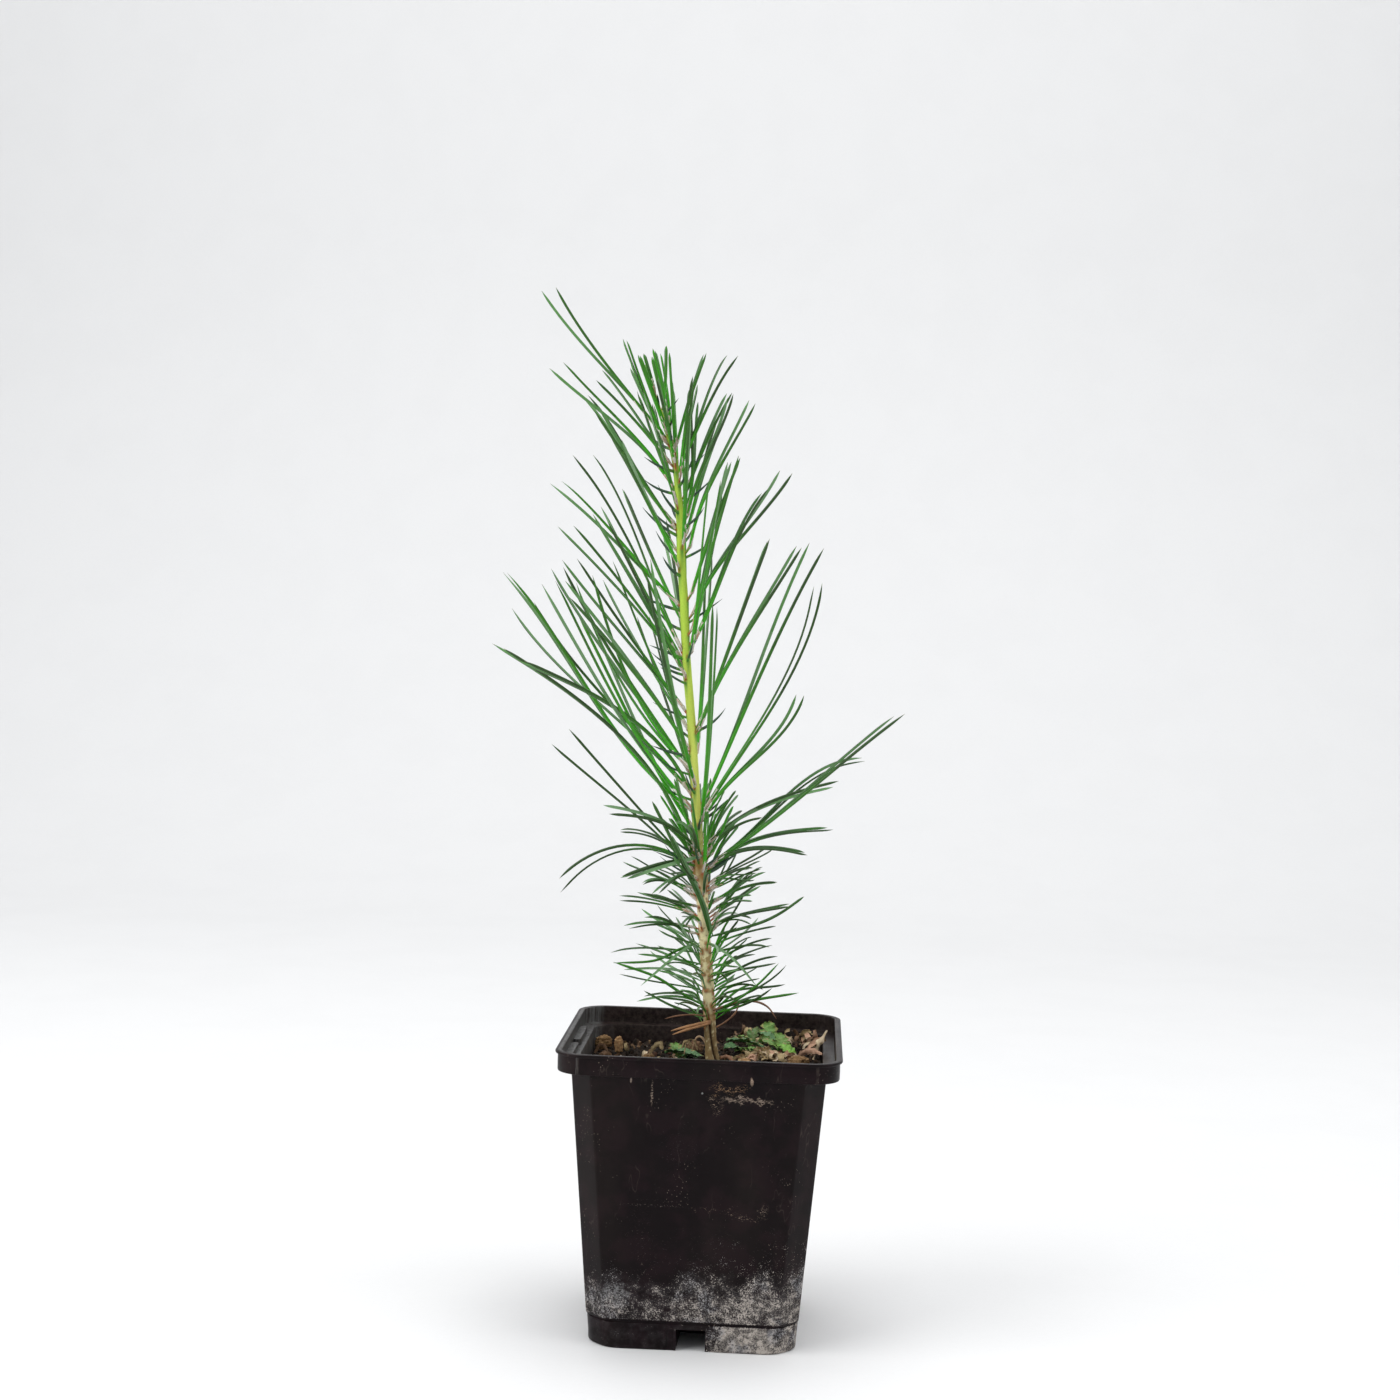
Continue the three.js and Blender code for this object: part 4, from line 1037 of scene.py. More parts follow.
class PINE_OT_stage(bpy.types.Operator):
    """Make the floor, the lights and the camera"""

    bl_idname = "pine.stage"
    bl_label = "Stage"

    def execute(self, context):
        settings = context.scene.pine_stage
        self.floor(settings)
        self.lights(context, settings)
        self.camera(context)
        return {"FINISHED"}

    def floor(self, settings):
        """A wide floor that curves up into a wall behind."""
        bend = np.linspace(0.1, np.pi / 2, 12)
        depth = np.concatenate([np.linspace(-3000, 900, 14), 900 + 600 * np.sin(bend), [1500]])
        height = np.concatenate([np.zeros(14), 600 * (1 - np.cos(bend)), [4200]])
        y, x = np.meshgrid(depth, np.linspace(-3500, 3500, 8), indexing="ij")
        grid = np.stack([x, y, np.broadcast_to(height[:, None], x.shape)], axis=-1)
        skin = Skin()
        skin.add(grid, [sheet_faces(len(depth), 8)])
        material = mottled_material(
            "Pale floor", settings.floor, colour(settings.floor, 0.97), 60,
            amount=0.3, grain=2, grain_amount=0.02, roughness=0.7, specular=0.3, bump=0.05,
        )
        floor = bpy.data.objects.new("floor", skin.mesh("floor", [material]))
        bpy.context.scene.collection.objects.link(floor)

    def lights(self, context, settings):
        aim = Vector((0, 0, 0.17))
        lights = (
            ("key", (-0.95, -0.55, 0.75), 0.9, settings.key),
            ("fill", (1.0, -0.35, 0.55), 0.9, settings.fill),
            ("overhead", (0.1, -0.15, 1.25), 0.9, settings.overhead),
            ("wall light", (0.0, 0.5, 2.3), 1.6, settings.wall),
        )
        for name, place, size, power in lights:
            goal = Vector((0, 1.6, 0.9)) if name == "wall light" else aim
            data = bpy.data.lights.new(name, "AREA")
            data.energy, data.size = power, size
            lamp = bpy.data.objects.new(name, data)
            lamp.location = place
            lamp.rotation_euler = (goal - Vector(place)).to_track_quat("-Z", "Y").to_euler()
            context.scene.collection.objects.link(lamp)
        world = bpy.data.worlds.new("Soft surround")
        world.use_nodes = True
        sky = world.node_tree.nodes["Background"]
        sky.inputs["Color"].default_value = (0.95, 0.97, 1.0, 1)
        sky.inputs["Strength"].default_value = settings.surround
        context.scene.world = world
        context.scene.view_settings.view_transform = "Standard"

    def camera(self, context):
        down, yaw, roll = (math.radians(CAMERA[key]) for key in ("down", "yaw", "roll"))
        ahead = Vector((math.sin(yaw) * math.cos(down), math.cos(yaw) * math.cos(down), -math.sin(down)))
        level = Vector((math.cos(yaw), -math.sin(yaw), 0))
        upward = level.cross(ahead)
        right = math.cos(roll) * level + math.sin(roll) * upward
        up = math.cos(roll) * upward - math.sin(roll) * level
        data = bpy.data.cameras.new("camera")
        data.lens, data.sensor_width = CAMERA["lens"], CAMERA["sensor"]
        data.clip_start, data.clip_end = 0.01, 20
        camera = bpy.data.objects.new("camera", data)
        turn = Matrix((right, up, -ahead)).transposed().to_4x4()
        camera.matrix_world = Matrix.Translation(Vector(CAMERA["place"]) * MM) @ turn
        context.scene.collection.objects.link(camera)
        context.scene.camera = camera


# The pot

CORNER_POINTS, SIDE_POINTS = 18, 20


def pot_half(z):
    return lerp(POT["foot_half"], POT["shoulder_half"], z / (POT["height"] - POT["band_height"]))


def whole_outline(corner):
    """The outline of a square from the points at its first corner."""
    quarters = []
    for quarter in range(4):
        c, s = [(1, 0), (0, 1), (-1, 0), (0, -1)][quarter]
        turn = np.array([[c, -s], [s, c]])
        quarters.append(corner @ turn.T)
    points = []
    for quarter in range(4):
        start, end = quarters[quarter][-1], quarters[(quarter + 1) % 4][0]
        shares = (np.arange(SIDE_POINTS) + 1) / (SIDE_POINTS + 1)
        points += [quarters[quarter], start + np.outer(shares, end - start)]
    return np.concatenate(points)


def cut_corner(half, cut, fillet):
    """A corner cut at 45 degrees, with its two edges rounded."""
    back = fillet * math.tan(math.pi / 8)
    arc = np.linspace(0, np.pi / 4, 7)
    first = fillet * np.stack([np.cos(arc), np.sin(arc)], axis=-1)
    first = first + (half - fillet, half - cut - back)
    second = first[::-1, ::-1]
    shares = np.linspace(0, 1, CORNER_POINTS - 2 * len(arc) + 2)[1:-1]
    between = first[-1] + np.outer(shares, second[0] - first[-1])
    return np.concatenate([first, between, second])


def round_corner(half, radius):
    arc = np.linspace(0, np.pi / 2, CORNER_POINTS)
    return half - radius + radius * np.stack([np.cos(arc), np.sin(arc)], axis=-1)


def pot_rings(fillet):
    """The pot's rings, up its outside, over the rim and down its inside."""
    top, shoulder = POT["height"], POT["height"] - POT["band_height"]
    cut, bevel, wall = POT["corner_cut"], POT["foot_bevel"], POT["wall"]
    loss = 2 - math.sqrt(2)
    rings = []

    def body(z, inset, corner=fillet):
        corner_cut = cut - loss * inset
        rings.append((z, whole_outline(cut_corner(pot_half(z) - inset, corner_cut, corner))))

    def rim(z, inset):
        radius = POT["rim_corner"] - inset
        rings.append((z, whole_outline(round_corner(POT["rim_half"] - inset, radius))))

    foot = 8.0  # the foot's corners are rounder than the body's
    for angle in np.radians([90, 60, 30, 0]):
        body(bevel * (1 - math.sin(angle)), bevel * (1 - math.cos(angle)), foot)
    for z, inset, corner in (
        (-6, 0.1, foot), (-3, 0.1, foot), (-1.1, 0.1, foot), (-0.5, 0.14, foot), (-0.3, 0.38, foot),
        (0, 0.42, 4), (0.2, 0.14, 3), (0.5, 0, 2.4), (2.1, 0, fillet), (4.6, 0, fillet),
    ):
        body(FOOT_LEDGE + z, inset, corner)
    for z in np.linspace(17, shoulder - 0.9, 14):
        body(z, 0)
    body(shoulder - 0.35, -0.06)
    body(shoulder - 0.05, -0.45)
    band = POT["lip_out"]
    for z, inset in (
        (shoulder + 0.0, band + 0.5), (shoulder + 0.12, band + 0.12), (shoulder + 0.5, band),
        (shoulder + 3, band - 0.03), (top - POT["lip_height"] - 0.25, band),
        (top - POT["lip_height"] - 0.05, band - 0.15), (top - POT["lip_height"] + 0.05, 0.12),
        (top - 0.65, 0.0), (top - 0.3, 0.0), (top - 0.08, 0.1), (top, 0.35),
    ):
        rim(z, inset)
    inner = band + POT["band_wall"]
    for z, inset in (
        (top, inner - 0.35), (top - 0.1, inner - 0.08), (top - 0.4, inner),
        (top - 3, inner + 0.04), (shoulder + wall + 0.4, inner), (shoulder + wall + 0.08, inner + 0.1),
        (shoulder + wall, inner + 0.45),
    ):
        rim(z, inset)
    body(shoulder + wall, wall - 0.4 - (pot_half(shoulder + wall) - pot_half(shoulder)))
    body(shoulder + wall - 0.15, wall - 0.1)
    for z in np.linspace(shoulder + wall - 0.8, POT["floor"] + 1, 14):
        body(z, wall)
    body(POT["floor"] + 0.3, wall + 0.25)
    body(POT["floor"], wall + 0.9)
    return rings


def add_blocks(skin, corners):
    """Four like blocks, one at each side of the pot, from the bottom and the top four corners."""
    faces = np.array([[3, 2, 1, 0], [4, 5, 6, 7], [0, 1, 5, 4], [1, 2, 6, 5], [2, 3, 7, 6], [3, 0, 4, 7]])
    for quarter in range(4):
        skin.add(turned(np.asarray(corners, float), (0, 0, quarter * math.pi / 2)), [faces])


def channel_corners(grow, start):
    """A drainage channel that runs in from the middle of a side, narrowing as it goes."""
    corners = []
    for z in (0 if grow > 0 else -0.5, CHANNEL["height"] + grow):
        for y, order in ((-start, 1), (CHANNEL["depth"] + grow - POT["foot_half"], -1)):
            share = (y + POT["foot_half"]) / CHANNEL["depth"]
            half = lerp(CHANNEL["mouth_half"], CHANNEL["inner_half"], share) + grow
            corners += [(-half * order, y, z), (half * order, y, z)]
    return corners


def pot_cutters():
    """The solids that are cut out of the pot."""
    skin = Skin()
    add_blocks(skin, channel_corners(0, POT["foot_half"] + 6))
    out = -POT["foot_half"] - 5
    for side, hollow in ((-1, FOOT_POCKET), (1, FOOT_POCKET), (-1, FOOT_GROOVE), (1, FOOT_GROOVE)):
        near, far = sorted((side * hollow["from"], side * hollow["to"]))
        corners = []
        for z in (-0.5, hollow["height"]):
            back = hollow["depth"] - pot_half(z)
            corners += [(near, out, z), (far, out, z), (far, back, z), (near, back, z)]
        add_blocks(skin, corners)
    half, near, far = DRAIN["half"], -DRAIN["from"], -DRAIN["to"]
    add_blocks(skin, [
        (x, y, z)
        for z in (CHANNEL["height"] + CHANNEL["wall"] / 2 - 1.5, CHANNEL["height"] + 3)
        for x, y in ((-half, far), (half, far), (half, near), (-half, near))
    ])
    return skin


def label_cutters():
    """Two long hollows with round ends in the ledge inside the left rim."""
    skin = Skin()
    sides = 32
    ledge = POT["height"] - POT["band_height"] + POT["wall"]
    half = LABEL_SLOT["width"] / 2
    reach = LABEL_SLOT["length"] / 2 - half
    middle_x = POT["band_wall"] - POT["rim_half"] + POT["lip_out"] + half
    angles = np.linspace(0, 2 * np.pi, sides, endpoint=False)
    for middle in LABEL_SLOT["middles"]:
        x = middle_x + half * np.cos(angles)
        y = middle + half * np.sin(angles) + reach * np.sign(np.sin(angles))
        heights = (ledge - LABEL_SLOT["depth"], ledge + 2)
        rings = [np.stack([x, y, np.full(sides, z)], axis=-1) for z in heights]
        skin.add(rings, ring_faces(2, sides))
    return skin


def cut_with(target, tools):
    """Applies Boolean operations to an object, one after another."""
    for operation, skin in tools:
        tool = bpy.data.objects.new("tool", skin.mesh("tool", []))
        bpy.context.scene.collection.objects.link(tool)
        change = target.modifiers.new("cut", "BOOLEAN")
        change.operation, change.object, change.solver = operation, tool, "EXACT"
        bpy.context.view_layer.update()
        evaluated = target.evaluated_get(bpy.context.evaluated_depsgraph_get())
        made = bpy.data.meshes.new_from_object(evaluated)
        target.modifiers.clear()
        target.data = made
        bpy.data.objects.remove(tool)


def blot(look, axes, bent, place, half):
    """A mask for a ragged mark on the pot's front. place and half are x and z in millimetres."""
    total = 0.0
    for axis, middle, reach in zip("XZ", place, half):
        away = look.times_plus(bent[axis], 1 / (MM * reach), -middle / reach)
        total = look.times_plus(away, away, total)
    mark = look.ramp(total, 1, 0.2)
    return look.times(mark, look.ramp(axes["Y"], -0.03, -0.034))


def bent_place(look, place, waves, reach):
    """A place pushed about by noise, so that what is drawn by it gets a ragged edge."""
    inputs = {"Vector": place, "Scale": waves, "Detail": 4.0, "Roughness": 0.65}
    push = look.node("TexNoise", inputs).outputs["Color"]
    inputs = {0: push, 1: (0.5, 0.5, 0.5)}
    centred = look.node("VectorMath", inputs, operation="SUBTRACT").outputs[0]
    inputs = {0: centred, 1: (reach, reach, reach), 2: place}
    moved = look.node("VectorMath", inputs, operation="MULTIPLY_ADD").outputs[0]
    return look.node("SeparateXYZ", {"Vector": moved}).outputs


# Marks on the pot's front: x and z of the middle, half sizes, share of fine noise that shows,
# and share of earth colour against dust
MARKS = (
    ((-14.0, 83.0), (0.5, 5.0), 0.55, 0.6),  # a long drip
    ((-20.6, 86.8), (0.4, 1.0), 0.9, 0.5),
    ((17.0, 88.2), (0.6, 2.2), 0.9, 0.75),
    ((9.5, 85.2), (7.5, 2.0), 0.42, 1.3),
    ((16.0, 81.9), (9.0, 1.1), 0.62, 0.6),  # a fuzzy streak of earth
    ((6.0, 80.4), (2.2, 4.4), 0.36, 0.7),
    ((1.5, 83.5), (0.4, 0.3), 1.0, 0.0),
    ((-14, 47.0), (13, 0.5), 0.26, 0.4),  # scratches across the middle
    ((-11, 48.6), (9, 0.5), 0.2, 0.4),
    ((6, 46.2), (10, 0.8), 0.26, 0.7),
    ((17, 44.6), (8, 1.2), 0.32, 0.7),
    ((22.5, 46.2), (1.6, 2.2), 0.36, 0.6),
    ((-17, 37), (6, 11), 0.14, 0.5),
    ((-5, 66), (8, 10), 0.12, 0.2),
    ((4, 58), (16, 16), -0.06, 0.4),
    ((0, 33), (18, 9), 0.06, 0.6),
    ((-2, 24), (22, 7), 0.1, 0.5),
    ((-24.5, 18), (5, 4.2), 0.62, 0.0),  # clusters of lime
    ((24, 16), (7, 5), 0.42, 0.1),
    ((17, 20), (4, 2.6), 0.3, 0.1),
    ((2, 12.5), (9, 2.6), 0.12, 0.5),
    ((-4, 88), (26, 1.3), -0.12, 0.9),  # warm dust under the rim
)


# The inside of the wall, in metres: where its middle stands, how that leans out with height, the ledge
# under the rim and the rim's inside
INNER_WALL = {"foot": 0.0327, "lean": 0.0791, "ledge": 0.0887, "rim": 0.04405}
# Where the painted shade in the label slots stops: its top and its edge towards the pot's middle, in metres
SLOT_SHADE_TOP, SLOT_SHADE_EDGE = 0.0893, -0.04
# Share of dust in smears, scratches and specks, and how much lighter than dust they are
DUSTINGS = (("Smears", 0.055, 1), ("Scratches", 0.2, 1), ("Specks", 0.6, 2))
PLATE_MIDDLE = 0.0176


def dust_and_slot_shade_inside(look, place, axes, tone, dust):
    """Dust on the walls inside the rim, grey streaks on the inside of the left rim, and painted shade that
    makes the label slots in the ledge there almost black.
    """
    across, deep = (look.math("ABSOLUTE", axes[axis]) for axis in "XY")
    corner = look.math("ADD", across, deep)
    corner = look.times_plus(corner, 0.5, 0.5 * MM * POT["corner_cut"])
    outward = look.most(look.most(across, deep), corner)
    wall = look.times_plus(axes["Z"], INNER_WALL["lean"], INNER_WALL["foot"])
    in_rim = look.math("GREATER_THAN", axes["Z"], INNER_WALL["ledge"])
    wall = look.times_plus(in_rim, look.minus(INNER_WALL["rim"], wall), wall)
    inside = look.math("LESS_THAN", outward, wall)
    inside = look.times(inside, look.ramp(axes["Z"], 0.08, 0.086))
    left = look.times(inside, look.ramp(axes["X"], -0.036, -0.039))
    veil = look.noise(place, 620.0, 4.0, 0.7)
    streaks = look.noise(look.stretched(place, (1.0, 1.0, 0.12)), 800.0, 3.0, 0.7)
    shown = look.times(inside, look.ramp(veil, 0.3, 0.7, 0.02, 0.2))
    tone = look.mix(shown, tone, dust)
    shown = look.times(left, look.ramp(streaks, 0.36, 0.62, 0.15, 0.8))
    tone = look.mix(shown, tone, (0.12, 0.12, 0.118, 1))
    # Painted shade: the insides of the label slots are made almost black
    slot_shade = look.times(left, look.ramp(axes["Z"], SLOT_SHADE_TOP + 0.00035, SLOT_SHADE_TOP))
    slot_shade = look.times(slot_shade, look.ramp(axes["X"], SLOT_SHADE_EDGE + 0.0006, SLOT_SHADE_EDGE))
    return look.mix(look.times(slot_shade, 0.95), tone, (0.001, 0.001, 0.001, 1))


def earthy(look, place, axes, tone, earth_colour):
    """Earth in drips and blots, broken up by fine noise. Gives the colour and the earth's mask."""
    fine = look.noise(look.stretched(place, (0.55, 0.55, 1.5)), 2500.0, 4.0, 0.8)
    ragged = bent_place(look, place, 260.0, 0.009)
    straight = bent_place(look, place, 500.0, 0.0012)
    earth = 0.0
    for middle, half, share, warm in MARKS:
        shape = blot(look, axes, straight if min(half) < 0.7 else ragged, middle, half)
        limit = 0.5 + 0.36 * (0.5 - share)
        shown = look.times(shape, look.ramp(fine, limit, limit + 0.1))
        shown = look.times(shown, 0.85)
        tint = [lerp(0.25, part, warm) for part in earth_colour]
        tone = look.mix(shown, tone, colour(tint))
        earth = look.most(shown, earth)
    return tone, earth


def limy(look, place, axes, tone, lime_colour):
    """A crust of fine grains of lime that creeps up from the foot, thickest at the front's right, and
    thinned along the foot's ledge to paint a dark line of shade there.

    Gives the colour and the lime's mask.
    """
    wide = look.noise(place, 95.0, 3.0, 0.6)
    patches = look.noise(place, 330.0, 5.0, 0.72)
    grains = look.noise(place, 2300.0, 4.0, 0.8)
    to_right = look.ramp(axes["X"], -0.03, 0.028)
    edge = look.times_plus(wide, 0.024, 0.008)
    edge = look.times_plus(to_right, 0.004, edge)
    depth = look.minus(edge, axes["Z"])
    below = look.ramp(depth, -0.004, 0.005)
    crowd = look.ramp(depth, -0.009, 0.008, -0.2, 0.0)
    ledge = FOOT_LEDGE * MM
    in_foot = look.ramp(axes["Z"], ledge, ledge - 0.0008)
    bare = look.times(in_foot, look.ramp(axes["X"], 0.007, 0.003))
    thick = look.times_plus(to_right, 0.07, -0.03)
    thick = look.times_plus(look.ramp(axes["X"], -0.022, -0.03), 0.03, thick)
    thick = look.times_plus(bare, -0.12, thick)
    thick = look.times_plus(look.minus(in_foot, bare), 0.09, thick)
    border = look.math("ABSOLUTE", look.minus(axes["X"], PLATE_MIDDLE))
    border = look.times(look.ramp(border, 0.0078, 0.0086), in_foot)
    thick = look.times_plus(border, -0.08, thick)
    # Painted shade: the lime and its veil thin out along the ledge, so that a dark line of shade shows there
    shaded_seam = look.math("ABSOLUTE", look.minus(axes["Z"], ledge + 0.0001))
    thick = look.times_plus(look.ramp(shaded_seam, 0.0007, 0.0003), -0.2, thick)
    veil = look.times_plus(patches, 0.7, thick)
    veil = look.times(look.ramp(veil, 0.22, 0.46, 0.0, 0.6), below)
    veil = look.most(veil, look.times(bare, look.ramp(patches, 0.4, 0.65, 0.0, 0.16)))
    tone = look.mix(veil, tone, (0.08, 0.073, 0.075, 1))
    bar = look.times_plus(patches, 0.5, look.math("ADD", thick, crowd))
    bar = look.times_plus(grains, 1.3, bar)
    lime = look.times(look.ramp(bar, 0.94, 0.975), look.ramp(depth, -0.02, -0.006))
    pale_share = look.ramp(patches, 0.44, 0.58)
    lime_tone = look.mix(pale_share, colour(lime_colour, 0.4), colour(lime_colour))
    cold = look.times(look.ramp(wide, 0.5, 0.62), 0.4)
    lime_tone = look.mix(cold, lime_tone, (0.27, 0.3, 0.36, 1))
    return look.mix(look.times(lime, 0.85), tone, lime_tone), lime


def pot_material(settings):
    """Black plastic with dust, scratches, earth under the rim and lime round the foot, and painted shade in
    the label slots and along the foot's ledge.
    """
    made, look, shader, relief_height = new_material(
        "Pot plastic", specular=0.105, bump=0.4, bump_mm=0.14
    )
    place = look.place()
    axes = look.node("SeparateXYZ", {"Vector": place}).outputs
    wear = look.group("Specks and scratches", specks_group, {
        "Speck Size": 0.9, "Speck Amount": 0.24, "Scratch Size": 18.0, "Scratch Width": 0.003,
    })
    grit = look.group("Mottle", mottle_group, {
        "Base Color": colour(settings.plastic), "Patch Color": colour(settings.plastic, 2.6),
        "Patch Size": 8.0, "Patch Amount": 0.8, "Grain Size": 0.35, "Grain Amount": 0.2,
    })
    tone = grit["Color"]
    for kind, share, strength in DUSTINGS:
        tone = look.mix(look.times(wear[kind], share), tone, colour(settings.dust, strength))
    tone = dust_and_slot_shade_inside(look, place, axes, tone, colour(settings.dust))
    tone, earth = earthy(look, place, axes, tone, settings.earth)
    tone, lime = limy(look, place, axes, tone, settings.lime)
    look.link(tone, shader["Base Color"])

    dull = look.times_plus(lime, 0.45, 0.36)
    dull = look.times_plus(wear["Smears"], 0.16, dull)
    dull = look.times_plus(earth, 0.3, dull, clamp=True)
    look.link(dull, shader["Roughness"])
    height = look.times(grit["Height"], 0.3)
    for crust, rise in ((lime, 1.4), (earth, 1.2), (wear["Scratches"], -0.35)):
        height = look.times_plus(crust, rise, height)
    look.link(height, relief_height)
    return made


class PINE_OT_pot(bpy.types.Operator):
    """Make the square pot with its rim, foot, channels and wear"""

    bl_idname = "pine.pot"
    bl_label = "Pot"

    def execute(self, context):
        settings = context.scene.pine_pot
        rings = pot_rings(settings.fillet)
        skin = Skin()
        count = len(rings[0][1])
        points = [np.column_stack([outline, np.full(count, z)]) for z, outline in rings]
        skin.add(np.concatenate(points), ring_faces(len(rings), count))
        piece = place_piece("nursery_pot", skin, [], ["pot"])
        casings = Skin()
        add_blocks(casings, channel_corners(CHANNEL["wall"], POT["foot_half"] - POT["foot_bevel"]))
        tools = (("UNION", casings), ("DIFFERENCE", pot_cutters()), ("DIFFERENCE", label_cutters()))
        cut_with(piece, tools)
        piece.data.name = "nursery_pot"
        piece.data.materials.clear()
        piece.data.materials.append(pot_material(settings))
        piece.data.polygons.foreach_set("material_index", np.zeros(len(piece.data.polygons), int))
        piece.data.polygons.foreach_set("use_smooth", np.ones(len(piece.data.polygons), bool))
        piece.data.set_sharp_from_angle(angle=math.radians(32))
        return {"FINISHED"}


# The soil and what lies on it


def soil_height(x, y):
    away = np.hypot(x - TRUNK[0, 1], y - TRUNK[0, 2])
    rise = SOIL["tilt"] * x / POT["shoulder_half"]
    for form_x, form_y, radius, height in SOIL_FORMS:
        rise = rise + height * np.exp(-((x - form_x) ** 2 + (y - form_y) ** 2) / radius**2)
    rise = rise + SOIL["lump"] * np.sin(0.33 * x + 1) * np.cos(0.29 * y + 0.4)
    return SOIL_LEVEL + rise * smooth(away, SOIL["flat"], SOIL["flat"] + SOIL["fade"])


def inside_pot(x, y, gap):
    """Points drawn in to the space inside the pot's walls."""
    half = pot_half(SOIL_LEVEL) - POT["wall"] - gap
    limit = 2 * half - POT["corner_cut"] + (2 - math.sqrt(2)) * (POT["wall"] + gap)
    x, y = np.clip(x, -half, half), np.clip(y, -half, half)
    over = np.maximum(np.abs(x) + np.abs(y), limit) / limit
    return x / over, y / over


# Where the share of each of the soil's tones ends among the crumbs, and how far the trunk keeps them
CRUMB_SHARES = (0.55, 0.84, 0.93, 0.99)
CRUMBS_FROM = 3.6


def soil_materials(settings):
    dark, brown = settings.dark, settings.brown
    rows = (
        ("Soil dark", dark, brown, 1.6),
        ("Soil brown", brown, dark, 0.8),
        ("Soil tan", (0.2, 0.12, 0.062), brown, 0.9),
        ("Soil red", (0.085, 0.034, 0.018), dark, 0.9),
        ("Soil stone", (0.42, 0.39, 0.34), (0.16, 0.13, 0.1), 0.7, 0.4),
    )
    return material_set(
        rows, grain=0.18, grain_amount=0.5, roughness=0.9, specular=0.25, bump=0.8, bump_mm=0.15
    )


class PINE_OT_soil(bpy.types.Operator):
    """Make the soil with its loose crumbs"""

    bl_idname = "pine.soil"
    bl_label = "Soil"

    def execute(self, context):
        settings = context.scene.pine_soil
        materials = soil_materials(settings)
        skin = Skin()
        self.ground(skin)
        place_piece("potting_soil", skin, materials, ["soil"])
        crumbs = Skin()
        self.crumbs(crumbs, settings)
        place_piece("soil_crumbs", crumbs, materials, sharp=50)
        return {"FINISHED"}

    def ground(self, skin):
        """The soil's rough top on a block that fills the pot."""
        count = 190
        half = pot_half(SOIL_LEVEL)
        span = np.linspace(-half, half, count)
        x, y = np.meshgrid(span, span)
        x, y = inside_pot(x, y, CLEAR)
        flat = np.stack([x, y, np.zeros_like(x)], axis=-1)
        rough = 0.75 * relief(flat, 4.5, 4) + 0.45 * relief(flat, 1.4, 3, 9.0)
        near = smooth(np.hypot(x - TRUNK[0, 1], y - TRUNK[0, 2]), 2, 8)
        top = np.stack([x, y, soil_height(x, y) - 0.25 + rough * lerp(0.35, 1, near)], axis=-1)
        index = np.arange(count * count).reshape(count, count)
        edge = np.concatenate([index[0, :-1], index[:-1, -1], index[-1, :0:-1], index[:0:-1, 0]])
        around = top.reshape(-1, 3)[edge]
        rings = [around]
        gap = POT["wall"] + CLEAR
        for z in (70, 10):
            ring = np.column_stack([around[:, :2], np.full(len(edge), z)])
            ring[:, :2] *= (pot_half(z) - gap) / (half - gap)
            rings.append(ring)
        skin.add(top, [sheet_faces(count, count)])
        walls, caps = ring_faces(3, len(edge), start_cap=False)
        skin.add(rings, [walls[:, ::-1], caps[:, ::-1]])

    def crumbs(self, skin, settings):
        draw = seeded(SEEDS["soil"])
        shapes = []
        points, faces = ball(2)
        for kind in range(6):
            bumps = relief(points + 7 * kind, 0.9, 2, kind)
            shapes.append(points * (1 + 0.35 * bumps)[:, None])
        half = pot_half(SOIL_LEVEL) - POT["wall"]
        for _ in range(settings.crumbs):
            size = settings.crumb_size * (0.25 + 0.95 * draw() ** 2.4)
            x, y = half * (2 * draw() - 1), half * (2 * draw() - 1)
            x, y = (float(v) for v in inside_pot(x, y, CLEAR + size))
            spins = [math.tau * draw() for _ in range(3)]
            shape = shapes[int(len(shapes) * draw())]
            scale = np.array([1, lerp(0.5, 0.95, draw()), lerp(0.35, 0.8, draw())]) * size
            slot = int(np.searchsorted(CRUMB_SHARES, draw()))
            if math.hypot(x - TRUNK[0, 1], y - TRUNK[0, 2]) < CRUMBS_FROM + size:
                continue
            z = float(soil_height(x, y)) + 0.25 * size
            skin.add(turned(shape * scale, spins) + (x, y, z), [faces], slot)


def toothed_leaf(draw, centre, half_width, half_length, angles, teeth=5, cup=0.25):
    """The grid of a crumpled leaf with a toothed and bitten edge and a creased middle, along its own Y."""
    rows, columns = 15, 71
    u, v = np.meshgrid(np.linspace(-1, 1, rows), np.linspace(-1, 1, columns), indexing="ij")
    phases = [draw() for _ in range(3)]
    outline = np.sqrt(np.clip(1.01 - np.abs(v + 0.12) ** 2.2 / 1.26, 0.015, 1))
    saw = (0.5 * teeth * (v + 1) + np.where(u < 0, phases[0], phases[1])) % 1
    tooth = 1.12 - 0.5 * np.abs(saw - 0.28) ** 1.2 - 0.05 * np.sin(60 * v + 9 * phases[2])
    for _ in range(4):
        middle, depth, reach = 1.6 * draw() - 0.8, lerp(0.1, 0.5, draw()), lerp(0.04, 0.12, draw())
        side = 1 if draw() < 0.5 else -1
        tooth = tooth - depth * np.exp(-(((v - middle) / reach) ** 2)) * (side * u > 0)
    tooth = np.maximum(tooth, 0.55)
    x = half_width * u * outline * lerp(1, tooth, np.abs(u))
    y = half_length * (v + 0.13 * np.abs(u) * (1 - v * v))
    vein = 0.06 * half_width * np.cos(2 * np.pi * saw) * np.abs(u)
    bow = 0.3 * np.abs(u) ** 1.2 + 0.12 * np.sin(2.4 * v + 5 * phases[2]) * u
    grid = np.stack([x, y, half_width * bow + vein - cup * half_length * v**2], axis=-1)
    crush = [relief(grid, 2.1, 3, 3 * k + 9 * phases[0]) for k in range(3)]
    grid = grid + 0.13 * half_width * np.stack(crush, axis=-1)
    return turned(grid, angles) + centre


